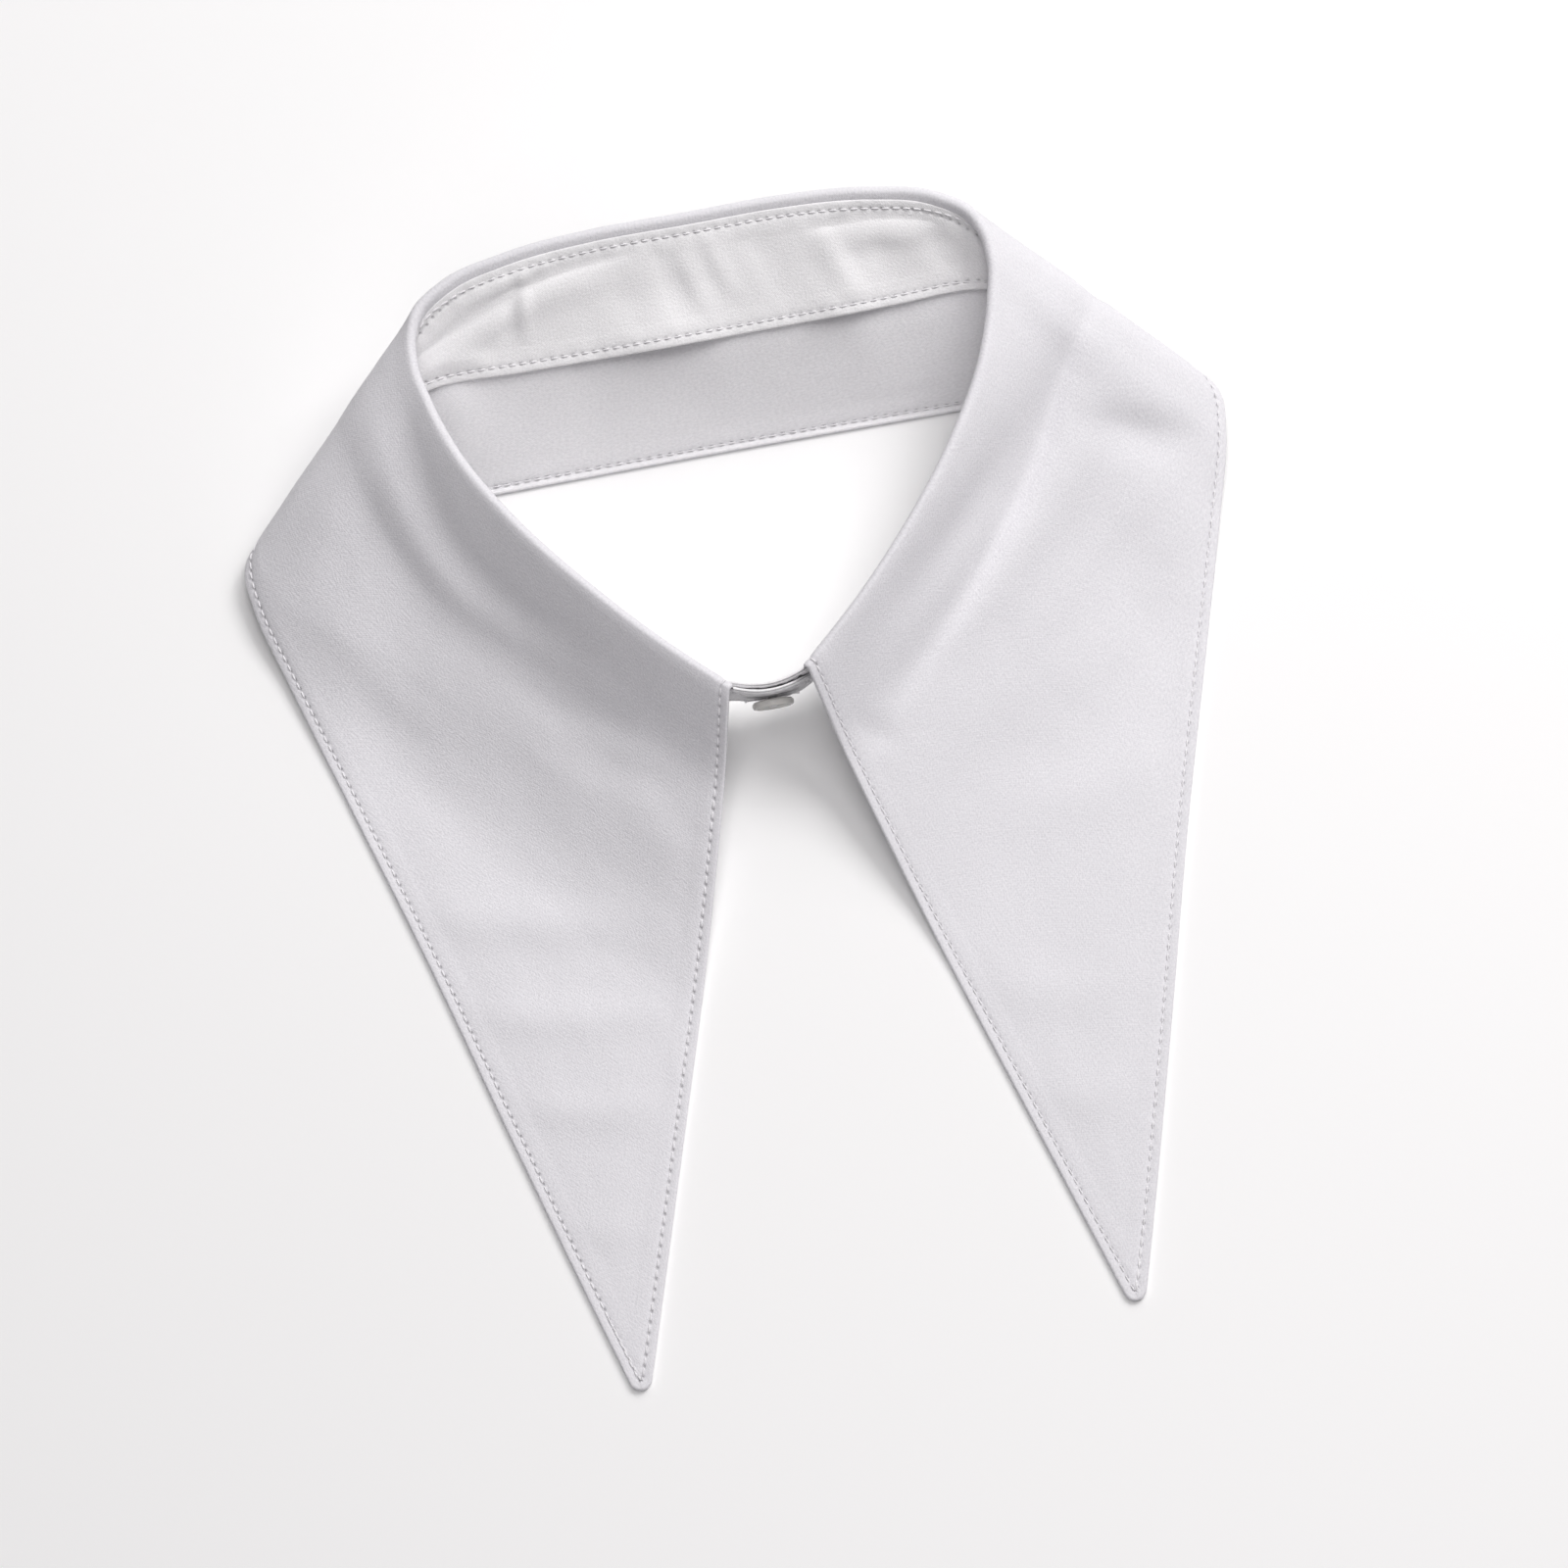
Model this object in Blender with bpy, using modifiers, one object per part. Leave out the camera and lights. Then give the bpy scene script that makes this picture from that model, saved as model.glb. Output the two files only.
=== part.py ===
"""Detachable shirt collar: two collar plies on a two-ply stand, buttoned at the front.

The collar lies on a table with its long points towards -Y. Its neck ring stands up a little
and leans back, and it rests on the collar's outer edge and points. Each cut piece is a shell
on a surface lofted through sections, which run from the back centre to the front edge.
"""

import math
from typing import NamedTuple

import bmesh
import bpy
import numpy as np
from mathutils import Vector

MM = 0.001

PLY = 1.0 * MM  # each cloth wall
SEAM_GAP = 0.3 * MM  # between neighbouring plies
PLY_STEP = PLY + SEAM_GAP  # from the middle of one ply to the middle of the next
ROLL_RADIUS = 1.7 * MM  # of the fold at the neck, to the middle of the upper collar
ROLL_TURNS = 4  # facets round the fold
STAND_DROP = 1.2 * MM  # from the upper collar's inner edge to the top of the stand
STEPS_PER_SECTION = 2
STEPS_AT_CORNER = 4  # where the ring folds over at the side of the neck
CORNER_SECTIONS = (3, 4, 5)
STAND_ROWS = 4
TIP_PULL = 7.5 * MM  # how far the blunt point stops short of a sharp one
TIP_RULING = 0.4  # of the last section step, where the point's rounding starts
LAP = 1.55 * MM  # each stand end's shift out of line, so that the ends overlap
LAP_START_X = 30.0 * MM
LAP_FULL_X = 12.0 * MM
STAND_END_ROUND = 8.5 * MM  # half the height of a stand end
STAND_END_FLAT = 0.93  # where the half circle is cut off blunt

MID_Y = -27.2 * MM  # where the middle of the collar's length is on the tables

BUTTON_RADIUS = 4.5 * MM
BUTTON_THICKNESS = 2.0 * MM
BUTTON_EDGE = 0.5 * MM
BUTTON_SIDES = 24

# Where the rows of the fall lie, from the fold (0) to the outer edge (1).
FALL_ROWS = (0.04, 0.09, 0.15, 0.23, 0.33, 0.45, 0.60, 0.78, 0.935, 1.0)


class Section(NamedTuple):
    """One section of the right half, from the fold to the outer edge and down the stand."""

    rim: tuple  # top of the fold line: x, y, z in mm
    top: tuple  # upper edge of the stand, midway through its two plies
    foot: tuple  # lower edge of the stand
    edge: tuple  # outer edge of the upper collar
    crease: float  # share of the fall's run where it bends from steep to shallow
    crease_z: float  # height there, mm
    lies: float  # share of the run from which the fall keeps the height of its edge


SECTIONS = (
    Section((0.0, 94.8, 32.0), (0.0, 91.0, 32.2), (0.0, 70.6, 20.4), (0.0, 52.6, 0.5), 0.50, 17.0, 1.0),
    Section((21.0, 94.8, 32.0), (21.0, 91.0, 32.2), (21.0, 70.7, 20.3), (38.0, 52.4, 0.5), 0.50, 17.0, 1.0),
    Section((41.0, 92.9, 31.8), (40.4, 89.2, 31.8), (42.0, 71.0, 20.2), (76.0, 52.0, 0.5), 0.50, 17.0, 1.0),
    Section((54.0, 89.4, 31.4), (52.0, 86.0, 30.6), (61.0, 71.0, 20.2), (97.0, 51.6, 1.2), 0.50, 16.8, 1.0),
    Section((60.6, 84.8, 31.0), (58.6, 82.4, 28.5), (71.4, 67.6, 18.6), (105.4, 49.4, 3.2), 0.50, 17.4, 1.0),
    Section((63.2, 79.4, 30.5), (62.5, 77.4, 27.2), (76.4, 61.6, 15.4), (108.7, 43.2, 4.6), 0.50, 18.0, 1.0),
    Section((63.8, 73.0, 30.0), (64.1, 71.2, 26.3), (77.4, 54.6, 12.2), (108.0, 34.0, 4.2), 0.48, 18.0, 1.0),
    Section((62.2, 64.0, 29.4), (63.2, 62.8, 25.7), (75.4, 45.0, 9.2), (103.0, 16.0, 2.6), 0.42, 16.2, 0.95),
    Section((57.8, 50.5, 29.0), (59.0, 49.6, 25.1), (68.6, 30.6, 7.0), (94.5, -12.0, 1.8), 0.31, 15.0, 0.85),
    Section((48.5, 33.5, 28.6), (49.2, 32.8, 24.8), (56.0, 16.4, 5.6), (82.5, -51.0, 1.8), 0.22, 14.0, 0.70),
    Section((36.0, 16.5, 28.0), (36.4, 16.2, 24.2), (41.0, 5.4, 5.6), (70.8, -92.0, 1.8), 0.17, 13.0, 0.56),
    Section((22.5, 1.2, 27.0), (22.4, 2.6, 23.4), (25.0, -2.6, 5.8), (60.6, -127.0, 1.8), 0.14, 12.0, 0.50),
    Section((8.5, -12.0, 25.2), (7.8, -10.6, 22.2), (9.0, -6.4, 6.2), (51.3, -159.0, 1.8), 0.12, 11.4, 0.46),
)


class Lap(NamedTuple):
    """A section of a stand end, past the collar's front edge."""

    top: tuple
    foot: tuple


LAPS = (
    Lap((0.0, -12.4, 22.0), (0.0, -8.0, 6.4)),
    Lap((-5.0, -11.6, 21.9), (-5.5, -7.4, 6.4)),
    Lap((-9.8, -9.2, 21.8), (-10.5, -5.6, 6.4)),
)


def clear_scene():
    """Remove the objects that the file opened with."""
    for obj in list(bpy.data.objects):
        bpy.data.objects.remove(obj, do_unlink=True)


def hermite(knots, points, slopes, at):
    """Cubic pieces through points at knots, with these slopes there."""
    k = np.clip(np.searchsorted(knots, at, side="right") - 1, 0, len(knots) - 2)
    width = np.diff(knots)[k, None]
    u = (at[:, None] - knots[k, None]) / width
    return (
        points[k] * (1 + 2 * u) * (1 - u) ** 2
        + slopes[k] * width * u * (1 - u) ** 2
        + points[k + 1] * u**2 * (3 - 2 * u)
        + slopes[k + 1] * width * u**2 * (u - 1)
    )


def level_spline(knots, points, at):
    """Cubic through points at knots, with slopes limited so that it never overshoots."""
    points = np.asarray(points, float).reshape(len(knots), -1)
    width = np.diff(knots)[:, None]
    rise = np.diff(points, axis=0) / width
    before, after = rise[:-1], rise[1:]
    same_way = before * after > 0
    mean = 3 * (width[:-1] + width[1:])
    weight = (2 * width[1:] + width[:-1]) / np.where(same_way, before, 1)
    weight = weight + (width[1:] + 2 * width[:-1]) / np.where(same_way, after, 1)
    inner = np.where(same_way, mean / np.where(same_way, weight, 1), 0.0)
    return hermite(knots, points, np.vstack([rise[:1], inner, rise[-1:]]), at)


def curve_through(knots, points, at):
    """Smooth space curve through points at knots (Catmull-Rom with uneven knots)."""
    width = np.diff(knots)[:, None]
    rise = np.diff(points, axis=0) / width
    inner = (rise[:-1] * width[1:] + rise[1:] * width[:-1]) / (width[1:] + width[:-1])
    return hermite(knots, points, np.vstack([rise[:1], inner, rise[-1:]]), at)


def line_at(knots, line, at):
    """A table column as a curve: smooth in plan, with heights that never overshoot."""
    curve = curve_through(knots, line, at)
    curve[:, 2] = level_spline(knots, line[:, 2], at)[:, 0]
    return curve


def unit(vectors):
    """The vectors at length one."""
    return vectors / np.linalg.norm(vectors, axis=-1, keepdims=True)


def mirrored(half, knots):
    """The half and its mirror image across X, with knots from minus to plus."""
    left = half[:0:-1] * (-1, 1, 1)
    return np.vstack([left, half]), np.concatenate([-knots[:0:-1], knots])


def section_knots(columns):
    """Mean distance along the columns, so that each section has its place on the ring."""
    steps = sum(np.linalg.norm(np.diff(c, axis=0), axis=1) for c in columns)
    return np.concatenate([[0.0], np.cumsum(steps / len(columns))])


def column(rows, name):
    """One column of a table as points in metres, about the middle of the collar."""
    return np.array([getattr(row, name) for row in rows], float) * MM - (0, MID_Y, 0)


def lap_shift(line, knots):
    """How far the front of a ring moves in Y: the left end forwards, the right end inwards."""
    front = np.abs(knots) > np.abs(knots).max() / 2
    reach = np.where(np.sign(knots) == np.sign(line[:, 0]), np.abs(line[:, 0]), 0.0)
    share = np.clip((LAP_START_X - reach) / (LAP_START_X - LAP_FULL_X), 0, 1)
    share = share * share * (3 - 2 * share) * front
    return share * np.sign(knots) * LAP


def stations(knots):
    """Each knot and the places between it and the next, closer together at the corner."""
    spans = [
        np.linspace(a, b, STEPS_AT_CORNER if k in CORNER_SECTIONS else STEPS_PER_SECTION, endpoint=False)
        for k, (a, b) in enumerate(zip(knots, knots[1:]))
    ]
    return np.concatenate([*spans, knots[-1:]])


def across(vectors, along):
    """The part of each vector that is square to the line along, at length one."""
    return unit(vectors - along * (vectors * along).sum(-1, keepdims=True))


def normals_of(grid):
    """Unit normals of a grid of points, facing the outside of the collar."""
    along = unit(np.gradient(grid, axis=0))
    down = unit(np.gradient(grid, axis=1))
    return unit(np.cross(along, down))


def fall_heights(profile, z_start):
    """Heights down one section of the fall: steep to the crease, then shallow, then flat."""
    crease, crease_z, lies, edge_z = profile
    knots = np.array([0.0, crease, 1.0] if lies > 0.999 else [0.0, crease, lies, 1.0])
    heights = [z_start, crease_z, edge_z, edge_z][: len(knots)]
    return level_spline(knots, heights, np.array(FALL_ROWS))[:, 0]


def collar_lines():
    """The fold, its seam on the stand and the outer edge at every station of the collar.

    With them come the directions from the fold's middle to its neck side and to its outer
    side, and the columns that give the fall's profile.
    """
    names = ("rim", "top", "foot", "edge")
    half_knots = section_knots([column(SECTIONS, name) for name in ("rim", "edge")])
    at = stations(half_knots)
    rounding = at[-2] + (at[-1] - at[-2]) * TIP_RULING
    at = np.concatenate([at[:-1], [rounding], at[-1:]])
    profile = np.array([[s.crease, s.crease_z * MM, s.lies] for s in SECTIONS])
    profile = level_spline(half_knots, profile, at)
    at = np.concatenate([-at[:0:-1], at])
    lines = {}
    for name in names:
        lines[name], knots = mirrored(column(SECTIONS, name), half_knots)
    for name in ("rim", "top", "foot"):
        lines[name][:, 1] += lap_shift(lines[name], knots)
    along = unit(np.gradient(lines["rim"], axis=0))
    lines["down"] = across(lines["foot"] - lines["top"], along)
    lines["neck"] = np.cross(lines["down"], along)
    lines["out"] = np.cross(along, across(lines["edge"] - lines["rim"], along))
    at_stations = {
        name: (line_at if name in names else curve_through)(knots, line, at)
        for name, line in lines.items()
    }
    at_stations["profile"] = np.vstack([profile[:0:-1], profile])
    return at_stations


def fold_rows(lines):
    """Rows of the upper collar from its seam inside the neck, up and over the fold."""
    rim, neck, out = lines["rim"], unit(lines["neck"]), unit(lines["out"])
    inside = rim + ROLL_RADIUS * neck
    seam = lines["top"] + unit(inside - lines["top"]) * STAND_DROP
    turn = np.arccos(np.clip((neck * out).sum(-1), -1, 1))[:, None]
    over = unit(out - neck * np.cos(turn))
    upwards = (over * lines["down"]).sum(-1, keepdims=True) < 0
    over = np.where(upwards, over, -over)
    turn = np.where(upwards, turn, 2 * math.pi - turn)
    arc = [
        rim + ROLL_RADIUS * (neck * np.cos(turn * share) + over * np.sin(turn * share))
        for share in np.linspace(0, 1, ROLL_TURNS + 1)
    ]
    return [seam, *arc]


def upper_collar_grid():
    """Points of the upper collar's middle, from its seam over the fold to its outer edge."""
    lines = collar_lines()
    rows = fold_rows(lines)
    start, edge = rows[-1], lines["edge"]
    heights = np.array(
        [fall_heights((*shape, end[2]), top[2]) for shape, end, top in zip(lines["profile"], edge, start)]
    )
    for row, share in enumerate(FALL_ROWS):
        points = start + (edge - start) * share
        points[:, 2] = heights[:, row]
        rows.append(points)
    grid = np.stack(rows, axis=1)
    for end, inner in ((0, 2), (-1, -3)):
        middle = (grid[end, -3] + grid[inner, -1]) / 2
        grid[end, -1] += unit(middle - grid[end, -1]) * TIP_PULL
    return grid


def under_collar_grid(upper):
    """Points of the under collar's middle: the fall of the upper collar, moved in."""
    moved = upper - normals_of(upper) * PLY_STEP
    return moved[:, 2 + ROLL_TURNS :]


def stand_grid(moved_in):
    """Points of a stand ply's middle, moved in towards the neck from the stand's middle.

    Returns them with the outward normals and each station's distance from the back centre.
    """
    rows = (*SECTIONS, *LAPS)
    knots = section_knots([column(rows, "top"), column(rows, "foot")])
    at = stations(knots)
    at = np.concatenate([-at[:0:-1], at])
    edges = []
    for name in ("top", "foot"):
        line, line_knots = mirrored(column(rows, name), knots)
        line[:, 1] += lap_shift(line, line_knots)
        edges.append(line_at(line_knots, line, at))
    top, foot = edges
    shares = np.linspace(0, 1, STAND_ROWS)[None, :, None]
    # Each end is a half circle: its rows draw together towards the last station.
    from_end = at.max() - np.abs(at)
    inside = np.clip(1 - from_end / STAND_END_ROUND, 0, STAND_END_FLAT)
    half = np.sqrt(1 - inside**2)[:, None, None]
    grid = top[:, None] + (foot - top)[:, None] * (0.5 + (shares - 0.5) * half)
    out = normals_of(grid)
    return grid - out * moved_in, out, at


def cloth_material(name, colour):
    """Matt white cotton."""
    material = bpy.data.materials.new(name)
    material.use_nodes = True
    shader = material.node_tree.nodes["Principled BSDF"]
    shader.inputs["Base Color"].default_value = (*colour, 1.0)
    shader.inputs["Roughness"].default_value = 0.75
    shader.inputs["Metallic"].default_value = 0.0
    return material


def shell(name, grid, colour, collection):
    """A cloth piece: the grid as an open surface, made PLY thick by Solidify."""
    mesh = bmesh.new()
    rows = [[mesh.verts.new(point) for point in line] for line in grid]
    for near, far in zip(rows, rows[1:]):
        for k in range(len(near) - 1):
            mesh.faces.new((near[k], near[k + 1], far[k + 1], far[k]))
    data = bpy.data.meshes.new(name)
    mesh.to_mesh(data)
    mesh.free()
    data.shade_smooth()
    data.materials.append(cloth_material(name, colour))
    piece = bpy.data.objects.new(name, data)
    collection.objects.link(piece)
    solid = piece.modifiers.new("wall", "SOLIDIFY")
    solid.thickness = PLY
    solid.offset = 0.0
    return piece


def button(collection):
    """The closing button, in front of the outer stand end at the centre."""
    grid, out, at = stand_grid(-PLY_STEP / 2)
    # The left end is the outer one: its station at the centre line carries the button.
    front = np.flatnonzero(at < at.min() / 2)
    station = front[np.argmin(np.abs(grid[front, 1, 0]))]
    upper, lower = grid[station, 1], grid[station, 2]
    normal = unit(out[station, 1] + out[station, 2])
    stand_off = PLY / 2 + SEAM_GAP + BUTTON_THICKNESS / 2
    mesh = bmesh.new()
    bmesh.ops.create_cone(
        mesh,
        cap_ends=True,
        segments=BUTTON_SIDES,
        radius1=BUTTON_RADIUS,
        radius2=BUTTON_RADIUS,
        depth=BUTTON_THICKNESS,
    )
    data = bpy.data.meshes.new("button")
    mesh.to_mesh(data)
    mesh.free()
    data.shade_smooth()
    data.set_sharp_from_angle(angle=math.radians(40))
    material = cloth_material("button", (0.82, 0.81, 0.79))
    material.node_tree.nodes["Principled BSDF"].inputs["Roughness"].default_value = 0.25
    data.materials.append(material)
    piece = bpy.data.objects.new("button", data)
    collection.objects.link(piece)
    piece.location = (upper + lower) / 2 + normal * stand_off
    piece.rotation_mode = "QUATERNION"
    piece.rotation_quaternion = Vector(normal).to_track_quat("Z", "Y")
    edge = piece.modifiers.new("edge", "BEVEL")
    edge.width = BUTTON_EDGE
    edge.segments = 2
    edge.limit_method = "ANGLE"
    return piece


def build():
    """Make every piece of the collar in one collection."""
    clear_scene()
    collection = bpy.data.collections.new("shirt_collar")
    bpy.context.scene.collection.children.link(collection)
    upper = upper_collar_grid()
    shell("upper_collar", upper, (0.80, 0.79, 0.82), collection)
    shell("under_collar", under_collar_grid(upper), (0.78, 0.77, 0.80), collection)
    shell("inner_stand", stand_grid(PLY_STEP / 2)[0], (0.83, 0.83, 0.84), collection)
    shell("outer_stand", stand_grid(-PLY_STEP / 2)[0], (0.79, 0.79, 0.80), collection)
    button(collection)


build()
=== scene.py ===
"""Looks of a detachable shirt collar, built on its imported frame.

The collar is two plies of white cotton, turned and topstitched, on a stand of two plies that
buttons at the front. Every ply is a thin shell on a surface lofted through sections, with its
creases, its seam allowances and the pull of its stitches worked into the surface.
"""

import logging
import math
from dataclasses import dataclass
from enum import Enum

import bpy
import numpy as np
from mathutils import Matrix, Vector, noise
from mathutils.kdtree import KDTree


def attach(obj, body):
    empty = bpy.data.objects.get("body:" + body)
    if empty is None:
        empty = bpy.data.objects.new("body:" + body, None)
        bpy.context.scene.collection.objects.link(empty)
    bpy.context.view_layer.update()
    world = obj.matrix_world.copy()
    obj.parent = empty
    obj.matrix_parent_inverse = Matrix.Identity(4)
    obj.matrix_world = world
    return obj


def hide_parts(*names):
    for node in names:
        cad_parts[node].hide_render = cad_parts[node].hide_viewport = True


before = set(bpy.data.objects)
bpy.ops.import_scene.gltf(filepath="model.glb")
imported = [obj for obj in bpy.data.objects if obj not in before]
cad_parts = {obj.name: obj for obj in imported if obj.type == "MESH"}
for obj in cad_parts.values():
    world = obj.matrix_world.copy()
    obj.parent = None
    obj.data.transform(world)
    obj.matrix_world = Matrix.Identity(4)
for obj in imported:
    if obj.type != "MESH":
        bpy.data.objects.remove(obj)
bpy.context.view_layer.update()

log = logging.getLogger("collar")

Array = np.ndarray
Pair = tuple[float, float]
Triple = tuple[float, float, float]
Piece = bpy.types.Object
Material = bpy.types.Material
Socket = bpy.types.NodeSocket

MM = 0.001


@dataclass(frozen=True)
class Section:
    """One section of the right half, from the fold to the outer edge and down the stand.

    Points are x, y, z in mm from the table's own middle; crease and lies are shares of the
    fall's run, and crease_z is a height in mm.
    """

    rim: Triple
    top: Triple
    foot: Triple
    edge: Triple
    crease: float
    crease_z: float
    lies: float


@dataclass(frozen=True)
class Lap:
    """A section of a stand end, past the collar's front edge, in mm."""

    top: Triple
    foot: Triple


SECTIONS = (
    Section((0.0, 94.8, 32.0), (0.0, 91.0, 32.2), (0.0, 70.6, 20.4), (0.0, 52.6, 0.5), 0.56, 18.4, 1.0),
    Section((21.0, 94.8, 32.0), (21.0, 91.0, 32.2), (21.0, 70.7, 20.3), (38.0, 52.4, 0.5), 0.56, 18.4, 1.0),
    Section((41.0, 92.9, 31.8), (40.4, 89.2, 31.8), (42.0, 71.0, 20.2), (76.0, 52.0, 0.5), 0.55, 18.0, 1.0),
    Section((54.0, 89.4, 31.4), (52.0, 86.0, 30.6), (61.0, 71.0, 20.2), (97.0, 51.6, 1.2), 0.52, 17.4, 1.0),
    Section((60.6, 84.8, 31.0), (58.6, 82.4, 28.5), (71.4, 67.6, 18.6), (105.4, 49.4, 3.2), 0.50, 17.4, 1.0),
    Section((63.2, 79.4, 30.5), (62.5, 77.4, 27.2), (76.4, 61.6, 15.4), (108.7, 43.2, 4.6), 0.50, 18.0, 1.0),
    Section((63.8, 73.0, 30.0), (64.1, 71.2, 26.3), (77.4, 54.6, 12.2), (108.0, 34.0, 4.2), 0.48, 18.0, 1.0),
    Section((62.2, 64.0, 29.4), (63.2, 62.8, 25.7), (75.4, 45.0, 9.2), (103.0, 16.0, 2.6), 0.42, 16.2, 0.95),
    Section((57.8, 50.5, 29.0), (59.0, 49.6, 25.1), (68.6, 30.6, 7.0), (94.5, -12.0, 1.8), 0.31, 15.0, 0.85),
    Section((48.5, 33.5, 28.6), (49.2, 32.8, 24.8), (56.0, 16.4, 5.6), (82.5, -51.0, 1.8), 0.22, 14.0, 0.70),
    Section((36.0, 16.5, 28.0), (36.4, 16.2, 24.2), (41.0, 5.4, 5.6), (70.8, -92.0, 1.8), 0.17, 13.0, 0.56),
    Section((22.5, 1.2, 27.0), (22.4, 2.6, 23.4), (25.0, -2.6, 5.8), (60.6, -127.0, 1.8), 0.14, 12.0, 0.50),
    Section((8.5, -12.0, 25.2), (7.8, -10.6, 22.2), (9.0, -6.4, 6.2), (51.5, -157.2, 1.8), 0.12, 11.4, 0.46),
)
LAPS = (
    Lap((0.0, -12.4, 22.0), (0.0, -8.0, 6.4)),
    Lap((-5.0, -11.6, 21.9), (-5.5, -7.4, 6.4)),
    Lap((-9.8, -9.2, 21.8), (-10.5, -5.6, 6.4)),
)
TABLE_MID_Y = -27.2 * MM
SETTLES = (0.5, 1.8, 7.0, 40.0)  # mm: heights in the table that the form settles to others
RAISE_OVER = 3  # front sections over which the stand's top stops being brought up

# Distances in from a sewn edge at which the mesh has a row, in mm.
HEM_STEPS = (
    0.0, 0.08, 0.2, 0.38, 0.6, 0.9, 1.25, 1.6, 2.0, 2.4, 2.8, 3.3, 3.9, 4.5, 4.9, 5.3, 5.7, 6.3, 7.2,
)
STITCH_STEP = HEM_STEPS.index(2.0)
# The same at a rounded stand end.
END_STEPS = (0.0, 0.03, 0.12, 0.3, 0.6, 1.0, 1.5, 2.1, 2.8, 3.6, 4.5, 5.5, 6.6, 7.8)
# Shares of the way from the seam inside the neck to the fold at which the mesh has a row.
STRIP_SHARES = (0.0, 0.06, 0.16, 0.34, 0.6, 0.85)


class Face(Enum):
    """Which face of the cloth shows: the one on its normal's side or the one behind."""

    OUT = 1.0
    IN = -1.0


def hermite(knots: Array, points: Array, slopes: Array, at: Array) -> Array:
    """Join points by cubic pieces.

    Args:
        knots: Place of each point, rising.
        points: One row a point.
        slopes: The curve's slope at each point.
        at: Places to work out.

    Returns:
        One row for each place.
    """
    k = np.clip(np.searchsorted(knots, at, side="right") - 1, 0, len(knots) - 2)
    width = np.diff(knots)[k, None]
    u = (at[:, None] - knots[k, None]) / width
    return (
        points[k] * (1 + 2 * u) * (1 - u) ** 2
        + slopes[k] * width * u * (1 - u) ** 2
        + points[k + 1] * u**2 * (3 - 2 * u)
        + slopes[k + 1] * width * u**2 * (u - 1)
    )


def level_spline(knots: Array, points: Array, at: Array) -> Array:
    """Cubic through points, with slopes limited so that it never overshoots.

    Args:
        knots, points, at: As in hermite.

    Returns:
        One row for each place.
    """
    points = np.asarray(points, float).reshape(len(knots), -1)
    width = np.diff(knots)[:, None]
    rise = np.diff(points, axis=0) / width
    before, after = rise[:-1], rise[1:]
    same_way = before * after > 0
    mean = 3 * (width[:-1] + width[1:])
    weight = (2 * width[1:] + width[:-1]) / np.where(same_way, before, 1)
    weight = weight + (width[1:] + 2 * width[:-1]) / np.where(same_way, after, 1)
    inner = np.where(same_way, mean / np.where(same_way, weight, 1), 0.0)
    return hermite(knots, points, np.vstack([rise[:1], inner, rise[-1:]]), at)


def curve_through(knots: Array, points: Array, at: Array) -> Array:
    """Smooth curve through points (Catmull-Rom with uneven knots).

    Args:
        knots, points, at: As in hermite.

    Returns:
        One row for each place.
    """
    width = np.diff(knots)[:, None]
    rise = np.diff(points, axis=0) / width
    inner = (rise[:-1] * width[1:] + rise[1:] * width[:-1]) / (width[1:] + width[:-1])
    return hermite(knots, points, np.vstack([rise[:1], inner, rise[-1:]]), at)


def line_at(knots: Array, line: Array, at: Array) -> Array:
    """A table column as a curve: smooth in plan, with heights that never overshoot.

    Args:
        knots, line, at: As in hermite.

    Returns:
        One point for each place.
    """
    curve = curve_through(knots, line, at)
    curve[:, 2] = level_spline(knots, line[:, 2], at)[:, 0]
    return curve


def unit(vectors: Array) -> Array:
    """The vectors at length one."""
    return vectors / np.maximum(np.linalg.norm(vectors, axis=-1, keepdims=True), 1e-12)


def smooth(share: Array) -> Array:
    """A soft step from 0 to 1 as share goes from 0 to 1."""
    share = np.clip(share, 0.0, 1.0)
    return share * share * (3 - 2 * share)


def calmed(hem: Array, keep: float, start: float, reach: float) -> Array:
    """Share of a crease's height by the distance from the edge: keep there, growing to 1."""
    return keep + (1 - keep) * smooth((hem / MM - start) / reach)


def run_of(line: Array) -> Array:
    """Distance along a line of points, at each point."""
    return np.concatenate([[0.0], np.cumsum(np.linalg.norm(np.diff(line, axis=0), axis=1))])


def across(vectors: Array, along: Array) -> Array:
    """The part of each vector that is square to the line along, at length one."""
    return unit(vectors - along * (vectors * along).sum(-1, keepdims=True))


def normals_of(grid: Array) -> Array:
    """Unit normals of a grid of points, facing the outside of the collar."""
    return unit(np.cross(np.gradient(grid, axis=0), np.gradient(grid, axis=1)))


def mirrored(half: Array, knots: Array) -> tuple[Array, Array]:
    """Add a right half's mirror image across X to its points, and to their places from 0."""
    return np.vstack([half[:0:-1] * (-1, 1, 1), half]), np.concatenate([-knots[:0:-1], knots])


def column(rows: tuple, name: str) -> Array:
    """One column of a table as points in metres, about the middle of the collar."""
    return np.array([getattr(row, name) for row in rows], float) * MM - (0, TABLE_MID_Y, 0)


def stand_top(rows: tuple, closer: float) -> Array:
    """The stand's upper edge, brought up towards the fold except at the front.

    Args:
        rows: The sections, with the laps or without.
        closer: Share of the way to the fold.

    Returns:
        One point a section, in metres.
    """
    top = column(rows, "top")
    fold = column(SECTIONS, "rim")
    share = closer * np.clip((len(SECTIONS) - 1 - np.arange(len(SECTIONS))) / RAISE_OVER, 0, 1)
    top[: len(SECTIONS)] += (fold - top[: len(SECTIONS)]) * share[:, None]
    return top


PATH_SAMPLES = 25
FADE = 0.8  # how softly a crease fades out at its ends


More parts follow.
